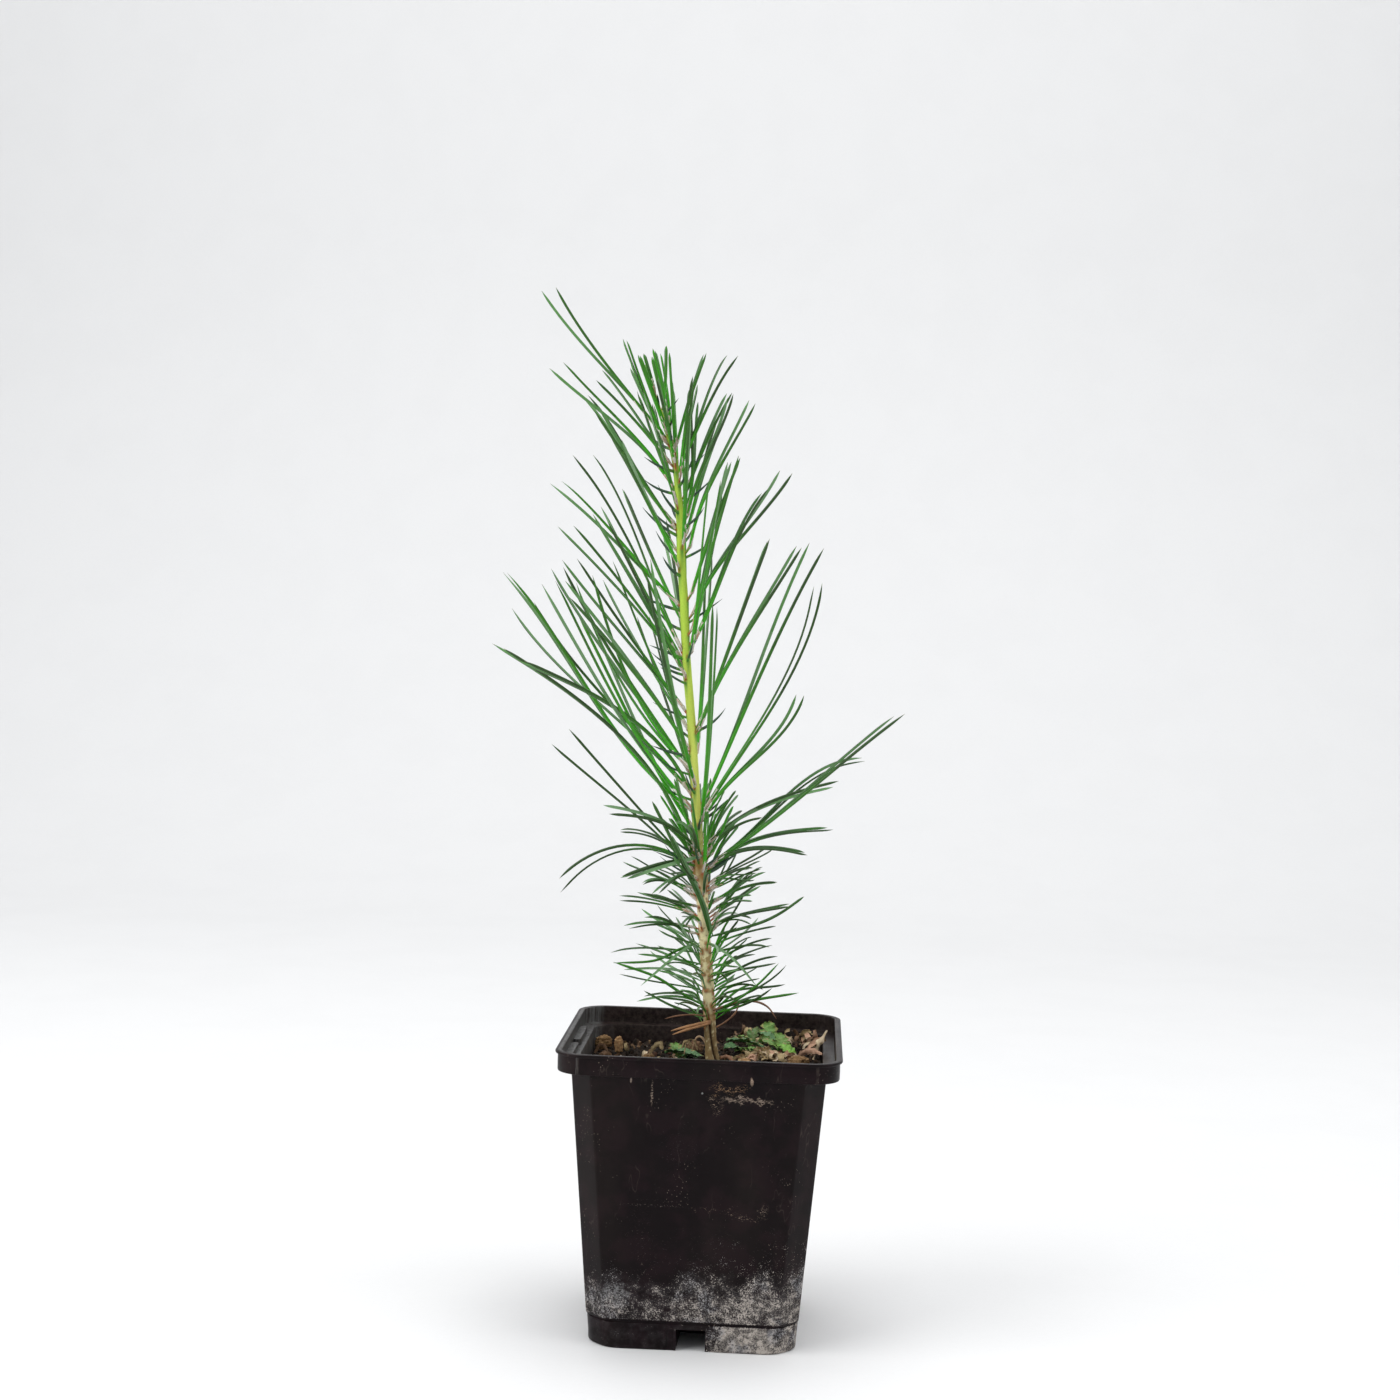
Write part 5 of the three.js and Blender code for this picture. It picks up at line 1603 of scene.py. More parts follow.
def curled(draw, centre, width, length, radius, angles, rows=7, columns=22):
    """The grid of a dry strip that curls up."""
    s = np.linspace(0, 1, columns)
    phases = [math.tau * draw() for _ in range(3)]
    heading = np.cumsum(np.full(columns, length / columns) / (radius * (1.25 - 0.7 * s)))
    step = length / columns
    line = np.stack([np.cumsum(step * np.cos(heading)), np.cumsum(step * np.sin(heading))], axis=-1)
    line -= line.mean(0)
    u = np.linspace(-1, 1, rows)
    half = width * (0.35 + 0.65 * np.sin(np.pi * (0.1 + 0.82 * s)))
    half = half * (1 + 0.22 * np.sin(11 * s + phases[0]))
    cup = 0.35 * width * u[:, None] ** 2
    grid = np.stack([
        line[:, 0] + cup * np.sin(heading),
        u[:, None] * half + 0.2 * width * np.sin(4 * s + phases[1]),
        line[:, 1] - cup * np.cos(heading),
    ], axis=-1)
    crush = [relief(grid, 1.6, 2, 5 * k + phases[2]) for k in range(3)]
    grid = grid + 0.12 * width * np.stack(crush, axis=-1)
    return turned(grid, angles) + centre


def spot_in(draw, middle, half):
    """A place drawn inside an oval patch."""
    angle, away = math.tau * draw(), math.sqrt(draw())
    return middle[0] + half[0] * away * math.cos(angle), middle[1] + half[1] * away * math.sin(angle)


def scatter_leaves(skin, draw, middle, half, count, length, slots, stand=0.3, lift=0.7, edge=None):
    """Crumpled leaves over a patch, lying mostly flat."""
    for _ in range(count):
        x, y = spot_in(draw, middle, half)
        long = lerp(*length, draw())
        angles = (stand * (2 * draw() - 1), stand * (2 * draw() - 1), math.tau * draw())
        z = float(soil_height(x, y)) + lift * lerp(0.4, 1.7, draw())
        wide, cup = long * lerp(0.38, 0.6, draw()), 0.3 * draw() - 0.05
        grid = toothed_leaf(draw, (x, y, z), wide, long, angles, 4 + int(3 * draw()), cup)
        add_leaf(skin, grid, 0.16, slots[int(len(slots) * draw())], edge)


def scatter_curls(skin, draw, middle, half, count, length, width, slots, lift=1.0):
    """Dry curled strips over a patch."""
    for _ in range(count):
        x, y = spot_in(draw, middle, half)
        angles = (0.7 * (2 * draw() - 1), 0.7 * (2 * draw() - 1), math.tau * draw())
        z = float(soil_height(x, y)) + lift * lerp(0.6, 1.8, draw())
        strip = lerp(*length, draw())
        wide, radius = width * lerp(0.7, 1.2, draw()), strip * lerp(0.16, 0.4, draw())
        grid = curled(draw, (x, y, z), wide, strip, radius, angles)
        add_leaf(skin, grid, 0.18, slots[int(len(slots) * draw())])


def bark_chip(skin, draw, centre, size, turn, slot, block):
    """A weathered chip of bark with a layered side."""
    points, faces = ball(4)
    blocky = np.sign(points) * np.abs(points) ** block
    blocky = unit(blocky) * (np.abs(blocky).max(1, keepdims=True) ** -0.35)
    shift = 13 * draw()
    layers = 0.05 * np.sin(blocky[:, 2] * 16 + 2 * relief(points, 0.8, 2, shift))
    bumps = 0.2 * relief(points, 0.75, 3, shift + 4) + 0.12 * relief(points, 0.22, 3, shift)
    shape = blocky * (0.9 + bumps + layers)[:, None] * size
    angles = (0.25 * (2 * draw() - 1), 0.25 * (2 * draw() - 1), math.radians(turn))
    skin.add(turned(shape, angles) + centre, [faces], slot)


def add_ribbon(skin, line, half, twist, slot):
    """A dry strip that twists along a line."""
    line = smooth_line(line, 34)
    tangents = unit(np.gradient(line, axis=0))
    side = unit(np.cross(tangents, (0.0, 0.3, 1.0)))
    over = np.cross(side, tangents)
    share = np.linspace(0, 1, len(line))
    angle = np.radians(twist) * share
    across = side * np.cos(angle)[:, None] + over * np.sin(angle)[:, None]
    width = half * (0.3 + 0.7 * np.sin(np.pi * (0.08 + 0.86 * share)))
    width = width * (1 + 0.18 * np.sin(29 * share))
    u = np.linspace(-1, 1, 7)
    cup = (0.35 * half * (u * u)[:, None])[..., None] * np.cross(across, tangents)
    add_leaf(skin, line + (u[:, None] * width)[..., None] * across + cup, 0.2, slot)


# The line, half width, twist in degrees and tone of each dry strip: those at the right wall, and those
# that lie about
TALL_STRIPS = (
    (((36.2, 1.5, 87.4), (37.4, 3, 90.5), (37.9, 5, 93), (40.0, 6.5, 96.4)), 1.35, 200, 2),
    (((33, 4.5, 88), (35.5, 5.5, 91.6), (38.4, 7.5, 93.2), (39.6, 9, 92.2)), 1.0, -160, 3),
    (((30.5, 1.0, 87.4), (32.6, 1.2, 89.6), (35.8, 1.4, 90.4), (38.8, 1.5, 89.6)), 1.0, 140, 3),
)
LOW_STRIPS = (
    (((-6.5, 3, 87.2), (-5.8, 3.4, 91.2), (-3.6, 3.8, 91.8), (-2.2, 4, 88.6)), 0.3, 60, 0),
    (((-7.4, 5, 88.8), (-6.4, 4.4, 91.2), (-4.6, 4.2, 90.6), (-3.8, 4.6, 88.6)), 0.5, 150, 0),
    (((-17.8, 3, 86.6), (-16.4, 3.2, 89), (-14.6, 3, 90.2), (-13.6, 3, 88.6)), 1.0, 90, 0),
    (((-36, 4, 86.2), (-35, 3.6, 88.4), (-33.4, 4, 88.8), (-32, 4.2, 87)), 0.7, 80, 1),
)
# Patches of dry curls: the middle, half sizes, count and lengths. Then the places of those at the back
CURL_PATCHES = (
    ((12, 33), (5, 2), 5, (4, 7)), ((29, 31), (4, 3), 5, (4, 8)), ((-12, 3), (3, 3), 4, (4, 7)),
    ((-30, -5), (6, 14), 8, (3, 6)), ((5, -22), (25, 10), 20, (3, 7)), ((-25, 28), (8, 5), 6, (3, 6)),
)
BACK_CURLS = (
    (11, 30, 90.6), (13.5, 29.5, 90), (27, 30, 90), (29.5, 30.5, 89.2), (33, 31, 90.2), (34, 29.5, 89),
)


class PINE_OT_litter(bpy.types.Operator):
    """Make the bark chips, green scraps and dry scraps on the soil"""

    bl_idname = "pine.litter"
    bl_label = "Litter"

    def execute(self, context):
        settings = context.scene.pine_soil
        rows = (
            ("Chip bark", (0.1, 0.053, 0.027), (0.24, 0.14, 0.075), 0.8),
            ("Chip brown", (0.16, 0.09, 0.035), (0.3, 0.18, 0.085), 0.8),
            ("Chip tan", (0.34, 0.19, 0.085), (0.48, 0.31, 0.16), 0.8),
        )
        bark = material_set(
            rows, amount=0.7, grain=0.2, grain_amount=0.55, roughness=0.85, specular=0.25,
            bump=0.8, bump_mm=0.2,
        )
        for index, (x, y, size, turn, tone) in enumerate(CHIPS):
            skin = Skin()
            draw = seeded(SEEDS["litter"] + 10 * index)
            stand, block = (1.1, 0.92) if index < CLODS else (0.75, 0.62)
            z = float(soil_height(x, y)) + stand * size[2]
            bark_chip(skin, draw, (x, y, z), size, turn, tone, block)
            name = f"bark_chip_{index + 1}"
            place_piece(name + "_bark", skin, bark, [name], sharp=60)
        self.moss(settings)
        self.dry(settings)
        return {"FINISHED"}

    def moss(self, settings):
        base = settings.moss
        rows = (
            ("Moss dark", colour(base, 0.6), (0.1, 0.1, 0.03), 1.5),
            ("Moss green", base, (0.2, 0.3, 0.07), 1.5),
            ("Moss bright", (0.2, 0.44, 0.05), base, 1.5),
            ("Moss blue", (0.1, 0.22, 0.08), (0.04, 0.12, 0.035), 1.5),
            ("Moss edge", (0.33, 0.3, 0.1), (0.2, 0.14, 0.06), 1.5),
        )
        materials = material_set(
            rows, amount=0.6, grain=0.25, grain_amount=0.3, roughness=0.5, specular=0.4, bump=0.5,
            bump_mm=0.1,
        )
        patches = (
            ("moss_patch_left", (-8.0, 8.2), (3.4, 2.4), 4, (2.6, 3.6), (1, 3)),
            ("moss_patch_right", (17, 11), (9, 4), 7, (2.6, 4.2), (1, 3, 0)),
            ("moss_patch_back", (18, 26), (5, 3), 4, (3, 4.4), (1, 0)),
        )
        for index, (name, *scattered) in enumerate(patches):
            skin = Skin()
            draw = seeded(SEEDS["litter"] + 100 + index)
            scatter_leaves(skin, draw, *scattered, edge=4)
            for x, y, rise, long, share, tilt, turn, slot in LEAVES[name]:
                angles = (math.radians(tilt), 0.25 * (draw() - 0.5), math.radians(turn))
                place = (x, y, float(soil_height(x, y)) + rise)
                grid = toothed_leaf(draw, place, long * share, long, angles, 4 + int(3 * draw()))
                add_leaf(skin, grid, 0.2, slot, 4)
            place_piece(name + "_leaves", skin, materials, [name])

    def dry(self, settings):
        tan = settings.tan
        rows = (
            ("Dry tan", tan, colour(tan, 0.55), 1.1),
            ("Dry brown", (0.19, 0.11, 0.06), (0.09, 0.05, 0.03), 1.1),
            ("Dry pale", (0.62, 0.5, 0.35), tan, 1.1),
            ("Dry pink", (0.58, 0.36, 0.24), (0.36, 0.2, 0.13), 1.1),
        )
        materials = material_set(
            rows, amount=0.6, grain=0.2, grain_amount=0.35, roughness=0.75, specular=0.3, bump=0.6,
            bump_mm=0.12,
        )
        for fill, seed, name, nodes in (
            (self.front, 200, "leaf_litter_front_curls", ["leaf_litter_front"]),
            (self.right, 300, "leaf_litter_right_curls", ["leaf_litter_right"]),
            (self.scraps, 400, "dry_scraps", ()),
        ):
            skin = Skin()
            fill(skin, seeded(SEEDS["litter"] + seed))
            place_piece(name, skin, materials, nodes)

    def front(self, skin, draw):
        """The dry curls in front of the green scraps."""
        scatter_curls(skin, draw, (16, 0.5), (8, 2.6), 17, (5, 10), 1.25, (0, 0, 3, 2))
        scatter_curls(skin, draw, (25, -1), (7, 3), 14, (4, 8), 1.1, (3, 0, 2, 1))
        scatter_leaves(skin, draw, (20, 0), (9, 2.6), 10, (2.0, 3.4), (0, 3, 2), stand=0.8, lift=1.1)

    def right(self, skin, draw):
        """The curls and the long dry strips that stand up against the pot's right wall."""
        scatter_curls(skin, draw, (34.5, 17), (1.8, 6), 11, (6, 11), 1.3, (0, 2, 2, 1), lift=1.6)
        for x, y, rise, long in ((34.6, 20, 2.2, 8), (35.2, 21.5, 4.2, 9), (34.8, 16, 1.6, 7)):
            place = (x, y, float(soil_height(x, y)) + rise)
            add_leaf(skin, curled(draw, place, 1.1, long, 3.4, (0.3, 1.1, 1.2 + rise)), 0.2, 3)
        for strip in TALL_STRIPS:
            add_ribbon(skin, *strip)

    def scraps(self, skin, draw):
        """Dry curls and strips all over the soil."""
        for middle, half, count, length in CURL_PATCHES:
            scatter_curls(skin, draw, middle, half, count, length, 0.9, (0, 1, 1, 2), lift=0.7)
        for place in BACK_CURLS:
            angles = (math.tau * draw(), 0.6 * draw(), math.tau * draw())
            add_leaf(skin, curled(draw, place, 1.2, 6.5, 2.0, angles), 0.18, int(2.99 * draw()))
        for strip in LOW_STRIPS:
            add_ribbon(skin, *strip)


# The trunk


def trunk_surface(bundles, settings):
    """The trunk's points ring by ring, with a colour at each."""
    bottom, top = TRUNK[0, 0], TRUNK[-1, 0]
    sides = 56
    heights = np.linspace(bottom, top, 620)
    azimuths = np.linspace(0, 360, sides, endpoint=False)
    z, turn = np.meshgrid(heights, azimuths, indexing="ij")
    along = along_at(heights)[:, None, :]
    angle = np.radians(turn)
    flat = np.stack([np.cos(angle), np.sin(angle), np.zeros_like(angle)], axis=-1)
    level = smooth(heights - bottom, 0, 3)[:, None, None]
    outward = unit(flat - level * (flat * along).sum(-1, keepdims=True) * along)
    low = z - bottom
    flare = 0.22 * np.maximum(0, 1 - low / 7)
    radius = bark_radius(heights)[:, None] * (1 + flare * np.cos(np.radians(3 * (turn - 35))))

    # Two strands that twist round each other at the foot
    twist = turn + 3 * (z - 97)
    groove = np.exp(-(((((twist - 182) % 180) - 90) / 16) ** 2)) * smooth(z, 108, 98)
    radius *= 1 - 0.6 * groove
    middle = bark_axis(heights)[:, None, :]
    place = middle + outward * radius[..., None]
    stretched = place * (1, 1, 0.8)
    woody = smooth(z + 5 * relief(place, 6, 2, 21), 168, 150)
    cracks = relief(stretched, 1.1, 4)
    radius += settings.relief * woody * cracks + 0.03 * (1 - woody) * relief(stretched, 1.2, 2, 5)

    bark, scar = np.array(settings.bark), np.array(settings.scar)
    shoot, ridge, foot = (np.array(tone) for tone in (settings.shoot, settings.ridge, settings.foot))
    yellow = smooth(z, 165, 235)[..., None]
    green = shoot * lerp(np.array([1.25, 0.98, 1.6]), np.array([0.95, 1.0, 0.85]), yellow)
    bark_tone = bark
    for tone, share in (
        (scar, 0.75 * smooth(-cracks, 0.42, 0.75)),
        (bark * (0.5, 0.38, 0.25), 0.9 * smooth(relief(place, 2.4, 3, 40), 0.22, 0.5)),
        (bark * (0.5, 0.36, 0.25), 0.85 * smooth(z, 106, 98) * smooth(cracks, 0.5, 0.0)),
        (bark * (0.24, 0.18, 0.12), 0.9 * smooth(z, 101, 94) * smooth(cracks, 1.1, 0.2)),
        # Painted shade: the groove between the two strands at the foot is darkened almost to black
        (scar * 0.4, 0.95 * groove),
    ):
        bark_tone = lerp(bark_tone, tone, share[..., None])
    tint = lerp(green, bark_tone, woody[..., None])
    for _, zone, bundle in bundles:
        drop = rooted(bundle, route(bundle, 0)[0])[0, 2] - z
        off = (turn - bundle["turn"] + 180) % 360 - 180
        is_long = zone["from"] >= SHOOT_FROM
        run, width, rise = (11.0, 27.0, 0.24) if is_long else (2.4, 24.0, 0.2)
        body = np.where(drop > -0.8, np.exp(-np.maximum(drop, 0) / (0.4 * run)), 0)
        body = body * smooth(drop, -0.9, 0.0)
        strip = np.exp(-((off / width) ** 2)) * body * (drop < 2.2 * run)
        radius += rise * strip
        if is_long:
            tone = lerp(ridge, foot, 0.8 * woody[..., None])
            tint = lerp(tint, tone, np.clip(1.35 * strip - 0.15, 0, 1)[..., None])
        else:
            tint = lerp(tint, scar, np.clip(1.3 * strip - 0.3, 0, 0.8)[..., None])
        knee = np.exp(-((off / 26) ** 2) - ((drop + 0.5) / 0.8) ** 2)
        tint = lerp(tint, foot, np.clip(1.2 * knee - 0.2, 0, 0.85)[..., None])
    place = middle + outward * radius[..., None]
    return place, np.clip(tint, 0, 1)


class PINE_OT_trunk(bpy.types.Operator):
    """Make the trunk with its bark, ridges and bud, and the withered needles at its foot"""

    bl_idname = "pine.trunk"
    bl_label = "Trunk and bud"

    def execute(self, context):
        settings = context.scene.pine_trunk
        points, tint = trunk_surface(foliage_bundles(), settings)
        rings, sides = points.shape[:2]
        skin = Skin()
        skin.add(points, ring_faces(rings, sides), tint=tint)
        bark = mottled_material(
            "Bark and shoot", None, None, 0.66, amount=0.0, grain=0.22, grain_amount=0.35,
            roughness=0.62, specular=0.35, bump=0.5, bump_mm=0.12,
        )
        place_piece("trunk_bark", skin, [bark], ["trunk"])
        self.bud()
        self.withered()
        return {"FINISHED"}

    def bud(self):
        """A pointed bud with overlapping scales."""
        top = TRUNK[-1, 0]
        along, outward, sideways = frame_at(top, 0.0)
        seat = axis_at(top) - 0.4 * along
        skin = Skin()
        core = np.array([(0.0, 0.8), (2.2, 0.95), (4.6, 0.75), (6.6, 0.35), (7.3, 0.03)])
        line = smooth_line(seat + np.outer(core[:, 0], along), 20)
        add_tube(skin, line, np.interp(np.linspace(0, 4, 20), range(5), core[:, 1]), 14)
        draw = seeded(SEEDS["needle"] + 1)
        for index in range(26):
            share = index / 26
            azimuth = math.radians(GOLDEN_ANGLE * index)
            out = math.cos(azimuth) * outward + math.sin(azimuth) * sideways
            side = np.cross(along, out)
            base = seat + (0.2 + 4.6 * share) * along + lerp(0.75, 0.55, share) * out
            long = lerp(2.6, 1.9, draw())
            v = np.linspace(0, 1, 9)
            u = np.linspace(-1, 1, 5)
            half = 0.52 * (1 - v**2.2) * lerp(1, 0.75, share)
            grid = (
                base + (long * v)[None, :, None] * along
                + (0.12 + 0.34 * v**2 - 0.3 * v * share)[None, :, None] * out
                + (u[:, None] * half)[..., None] * side
                - (0.22 * u[:, None] ** 2 * np.ones_like(v))[..., None] * out
            )
            add_leaf(skin, grid, 0.07, 1 + int(2 * draw()))
        rows = (
            ("Bud green", (0.2, 0.36, 0.07), (0.1, 0.25, 0.04), 0.8),
            ("Bud scale brown", (0.4, 0.24, 0.13), (0.6, 0.48, 0.34), 0.7),
            ("Bud scale green", (0.2, 0.38, 0.08), (0.45, 0.42, 0.2), 0.7),
        )
        materials = material_set(rows, roughness=0.55, specular=0.35, bump=0.4, bump_mm=0.08)
        place_piece("bud_scales", skin, materials, ["terminal_bud"])

    def withered(self):
        """Dead needles that hang from the foot of the trunk, and a root that shows as an arch."""
        skin = Skin()
        lines = (
            (((2.0, -1.6, 99.3), (-1.5, -2.8, 98.6), (-6, -3.2, 97.4), (-10.8, -3.2, 95.9)), 0.5, 0),
            (((2.0, -1.7, 98.8), (-1.5, -3.2, 97.8), (-6, -4.1, 96.5), (-10.2, -4.4, 94.9)), 0.45, 0),
            (((2.6, -2, 103), (9, -3, 105.6), (16, -3, 106.6), (20.5, -3, 105), (23.5, -3, 101.2)), 0.34, 1),
            (((4.0, -2.2, 97.5), (7, -4.2, 99.8), (10, -5.8, 103), (11.4, -6.8, 106.5)), 0.3, 1),
            (((0.8, -1.8, 101), (-4, -3.6, 101.6), (-9, -4.8, 101.2), (-12.8, -5.4, 100.2)), 0.27, 1),
            (((2.2, 2.2, 87.4), (-0.4, 3.4, 92.4), (-2.6, 4, 92.6), (-4.2, 4.4, 88)), 0.36, 2),
            (((5.6, 0.6, 87), (8.2, -0.4, 87.6), (10.6, -2.4, 85.6)), 0.6, 1),
        )
        for points, radius, slot in lines:
            line = smooth_line(points, 30)
            share = np.linspace(0, 1, 30)
            taper = radius * (1 - 0.75 * np.maximum(0, share - 0.75) / 0.25)
            add_tube(skin, line, taper * (1 + 0.1 * np.sin(23 * share)), 8, slot)
        rows = (
            ("Withered needle", (0.42, 0.22, 0.1), (0.25, 0.12, 0.06), 1.4),
            ("Withered dark", (0.26, 0.13, 0.07), (0.14, 0.07, 0.04), 1.4),
            ("Dry root", (0.5, 0.34, 0.2), (0.26, 0.16, 0.09), 0.9),
        )
        materials = material_set(rows, roughness=0.6, specular=0.35, bump=0.4, bump_mm=0.08)
        place_piece("withered_needles", skin, materials)


# The foliage

GREEN_STEPS = 9
PALE_STEPS = 3
SLOT_PALE = GREEN_STEPS
SLOT_TIP = GREEN_STEPS + PALE_STEPS
SECTION_ARC, SECTION_FLAT = 9, 3
# The step of green at the foot of each mass's needles: of the rule's own, and of the small ones added
OLD_GREEN = {"juvenile_brush": 3.2, "short_brush": 3.7, "whorl": 3.8}
FINE_GREEN = {"juvenile_brush": 1.0, "short_brush": 3.4, "whorl": 0.3}
# Needles placed one by one, those that lean across the trunk and the longest low ones: the line of each,
# half its width, which way its flat side faces (-1 is the front) and its green
PLACED = (
    (((1.3, -1.8, 126.7), (-1.8, -5.5, 137.9), (-6.9, -8, 148.7), (-13.7, -10, 162.3), (-18.7, -11, 171.6)),
     0.62, 1, 7),
    (((1.9, -1.8, 127.2), (-1.0, -5.2, 137.7), (-5.9, -7.6, 148.4), (-12.2, -9.6, 161.0)), 0.55, -1, 6),
    (((-1.8, -3, 153.6), (-6.1, -6, 152.8), (-13.9, -10, 150.7), (-21.7, -13, 148.1), (-25.8, -14, 146.5)),
     0.6, -1, 4),
    (((0.3, -1.5, 126.9), (15.2, -4, 131.8), (23.3, -6, 136), (31.2, -8, 142.2)), 0.5, 1, 7),
    (((3, -1.5, 103), (10.8, -3, 105.9), (18.6, -5, 108), (30.6, -7, 110.7)), 0.5, 1, 5),
    (((3.3, -1.5, 103), (9.8, -4, 106.7), (16.9, -6, 112.5), (23.8, -8, 120.3)), 0.4, 1, 4),
    (((-0.3, -1.5, 104.2), (-8.2, -4, 108.9), (-16.7, -6, 114.2), (-30, -8, 118.6)), 0.48, 1, 4),
    (((-2.3, -1.5, 124.9), (-5.9, -6, 124.1), (-12.7, -10, 118.9), (-20.4, -14, 112.1)), 0.46, -1, 4),
    (((-2.3, -1.5, 124.9), (-8.5, -5, 123.2), (-16.7, -8, 119.5), (-29.8, -11, 118.7)), 0.44, 1, 5),
    (((-0.3, -1.5, 124.9), (3.8, -6, 124.1), (9.6, -11, 121), (17.2, -15, 113.4)), 0.44, -1, 3),
)
LONG_RINGS, SHORT_RINGS = 22, 14


def needle_section(thickness):
    """The half-round section of a needle: u points to its twin, v across. Width 2."""
    arc = np.linspace(0, np.pi, SECTION_ARC)
    bow = np.stack([-thickness * np.sin(arc), np.cos(arc)], axis=-1)
    across = np.linspace(-1, 1, SECTION_FLAT + 2)[1:-1]
    flat = np.stack([-0.16 * (1 - across**2) * thickness, across], axis=-1)
    return np.concatenate([bow, flat])


def add_needle(skin, line, flat, half, thickness, twist, shades, kind):
    """A needle along a line. flat points to its twin, and shades gives the green of each ring."""
    rings = LONG_RINGS if kind == "long" else SHORT_RINGS
    shares = 1 - (1 - np.linspace(0, 1, rings)) ** 1.5
    points = points_on(line, shares)
    _, inward, across = frames_along(points, flat)
    angle = twist * shares**1.3
    c, s = np.cos(angle)[:, None], np.sin(angle)[:, None]
    inward, across = inward * c + across * s, across * c - inward * s
    section = needle_section(thickness)
    tip = 3.6 / len(line) / np.linalg.norm(line[1] - line[2])
    point = np.clip(1 - np.clip((shares - 1 + tip) / tip, 0, 1) ** 1.8, 0.05, 1)
    width = half * lerp(0.3, 1, smooth(shares, 0, share_at(line, 5.5)))
    width = width * lerp(1, 0.86, smooth(shares, 0.4, 0.95)) * point
    u, v = np.outer(width, section[:, 0]), np.outer(width, section[:, 1])
    body = sections(points[:, None, :], inward, across, u, v)
    sides = len(section)
    walls, caps = ring_faces(rings, sides)
    ring, corner = np.divmod(np.arange(len(walls)), sides)
    greens, pales = shades(shares[:-1])
    is_flat = corner >= SECTION_ARC - 1
    slots = np.where(is_flat, SLOT_PALE + pales[ring], greens[ring])
    slots = np.where(ring >= rings - 2, SLOT_TIP, slots)
    skin.add(body, [walls, caps], slots, SLOT_TIP)


def add_sheath(skin, line, reach, half, flat, draw):
    """The thin scales wrapped round the foot of a bundle, with a ragged mouth."""
    sides, rings = 14, 9
    angles = 2 * np.pi * np.arange(sides) / sides
    for share, swell in ((1.0, 1.0), (0.72, 1.08), (0.42, 1.16)):
        shares = np.linspace(0, 1, rings)
        points = points_on(line, shares * share * reach)
        tangents, inward, across = frames_along(points, flat)
        rag = np.array([draw() for _ in range(sides)])
        grow = lerp(0.3, 0.88, smooth(shares * share, -0.1, 0.55)) * lerp(1, 1.12, smooth(shares, 0.8, 1))
        radius = half * 1.12 * swell * grow
        slide = np.outer(smooth(shares, 0.7, 1), 1.3 * (rag - 0.5))
        places = points[:, None, :] + slide[..., None] * tangents[:, None, :]
        u, v = np.outer(radius, np.cos(angles)), np.outer(radius, np.sin(angles))
        outer = sections(places, inward, across, u, v)
        inner = outer[-1:] * 0.12 + (outer[-2:-1] * 0.2 + points[-2] * 0.8) * 0.88
        body = np.concatenate([outer, lerp(outer[-1:], inner, 0.6)])
        walls, caps = ring_faces(rings + 1, sides)
        ring, side = np.divmod(np.arange(len(walls)), sides)
        rag_side = rag[side]
        up = shares[np.minimum(ring, rings - 1)] * share
        upper = np.where(rag_side < 0.42 - 0.3 * up, 1, 2 + (rag_side > 0.7))
        tone = np.where(up < 0.14 + 0.1 * rag_side, 0, upper)
        skin.add(body, [walls, caps], tone, 0)


def add_bract(skin, bundle, draw):
    """The thin primary needle under a bundle, which curves up from its ridge."""
    at = rooted(bundle, route(bundle, 0)[0])[0, 2] - 0.9
    directions = frame_at(at, bundle["turn"] + 8 * (draw() - 0.5))
    high = smooth(bundle["at"], 270, 300)
    length = lerp(9.5, 15, draw()) * lerp(1, 0.6, float(high))
    lift = np.radians(lerp(lerp(12, 30, draw()), lerp(24, 60, draw()), np.linspace(0, 1, 14)))
    sway = math.radians(24 * (draw() - 0.5))
    line = walked(beside_bark(at, bundle["turn"], -0.2), directions, lift, sway, length)
    share = np.linspace(0, 1, len(line))
    radii = lerp(0.34, 0.5, draw()) * np.maximum(0.08, lerp(1.15, 0.85, share) * (1 - share**4))
    add_tube(skin, line, radii, 7, np.where(share[:-1] < 0.2, 4, 5))


def foliage_materials(settings):
    """The greens from young to old, the pale sides and the tips, each with darker patches."""
    young, middle, old = (np.array(tone) for tone in (settings.young, settings.middle, settings.old))
    rows = []
    for step in range(GREEN_STEPS):
        share = step / (GREEN_STEPS - 1)
        tone = lerp(young, middle, 2 * share) if share < 0.5 else lerp(middle, old, 2 * share - 1)
        rows.append((f"Needle green {step + 1}", tone, 0.8 * tone, 3.0, 0.4))
    for step in range(PALE_STEPS):
        tone = lerp(np.array(settings.pale), middle, 0.3 * step)
        rows.append((f"Needle pale {step + 1}", tone, 0.8 * tone, 3.0, 0.4))
    tip = np.array(settings.tip)
    rows.append(("Needle tip", tip, 0.7 * tip, 1.0))
    return material_set(
        rows, grain=0.5, grain_amount=0.12, roughness=0.3, specular=0.3, bump=0.15, bump_mm=0.04
    )


def sheath_materials(settings):
    """The sheaths' scales from foot to mouth, and the thin needles under the bundles."""
    foot, stripe, mouth = (np.array(tone) for tone in (settings.sheath, settings.stripe, settings.mouth))
    tones = (foot, stripe, lerp(stripe, mouth, 0.65), mouth)
    rows = [(f"Sheath {step + 1}", tone, 0.72 * tone, 0.7) for step, tone in enumerate(tones)]
    rows.append(("Bract foot", (0.05, 0.26, 0.02), (0.2, 0.16, 0.05), 0.8, 0.4))
    rows.append(("Bract", (0.03, 0.085, 0.045), (0.05, 0.07, 0.03), 2.0))
    return material_set(
        rows, grain=0.3, grain_amount=0.3, roughness=0.55, specular=0.4, bump=0.4, bump_mm=0.06
    )


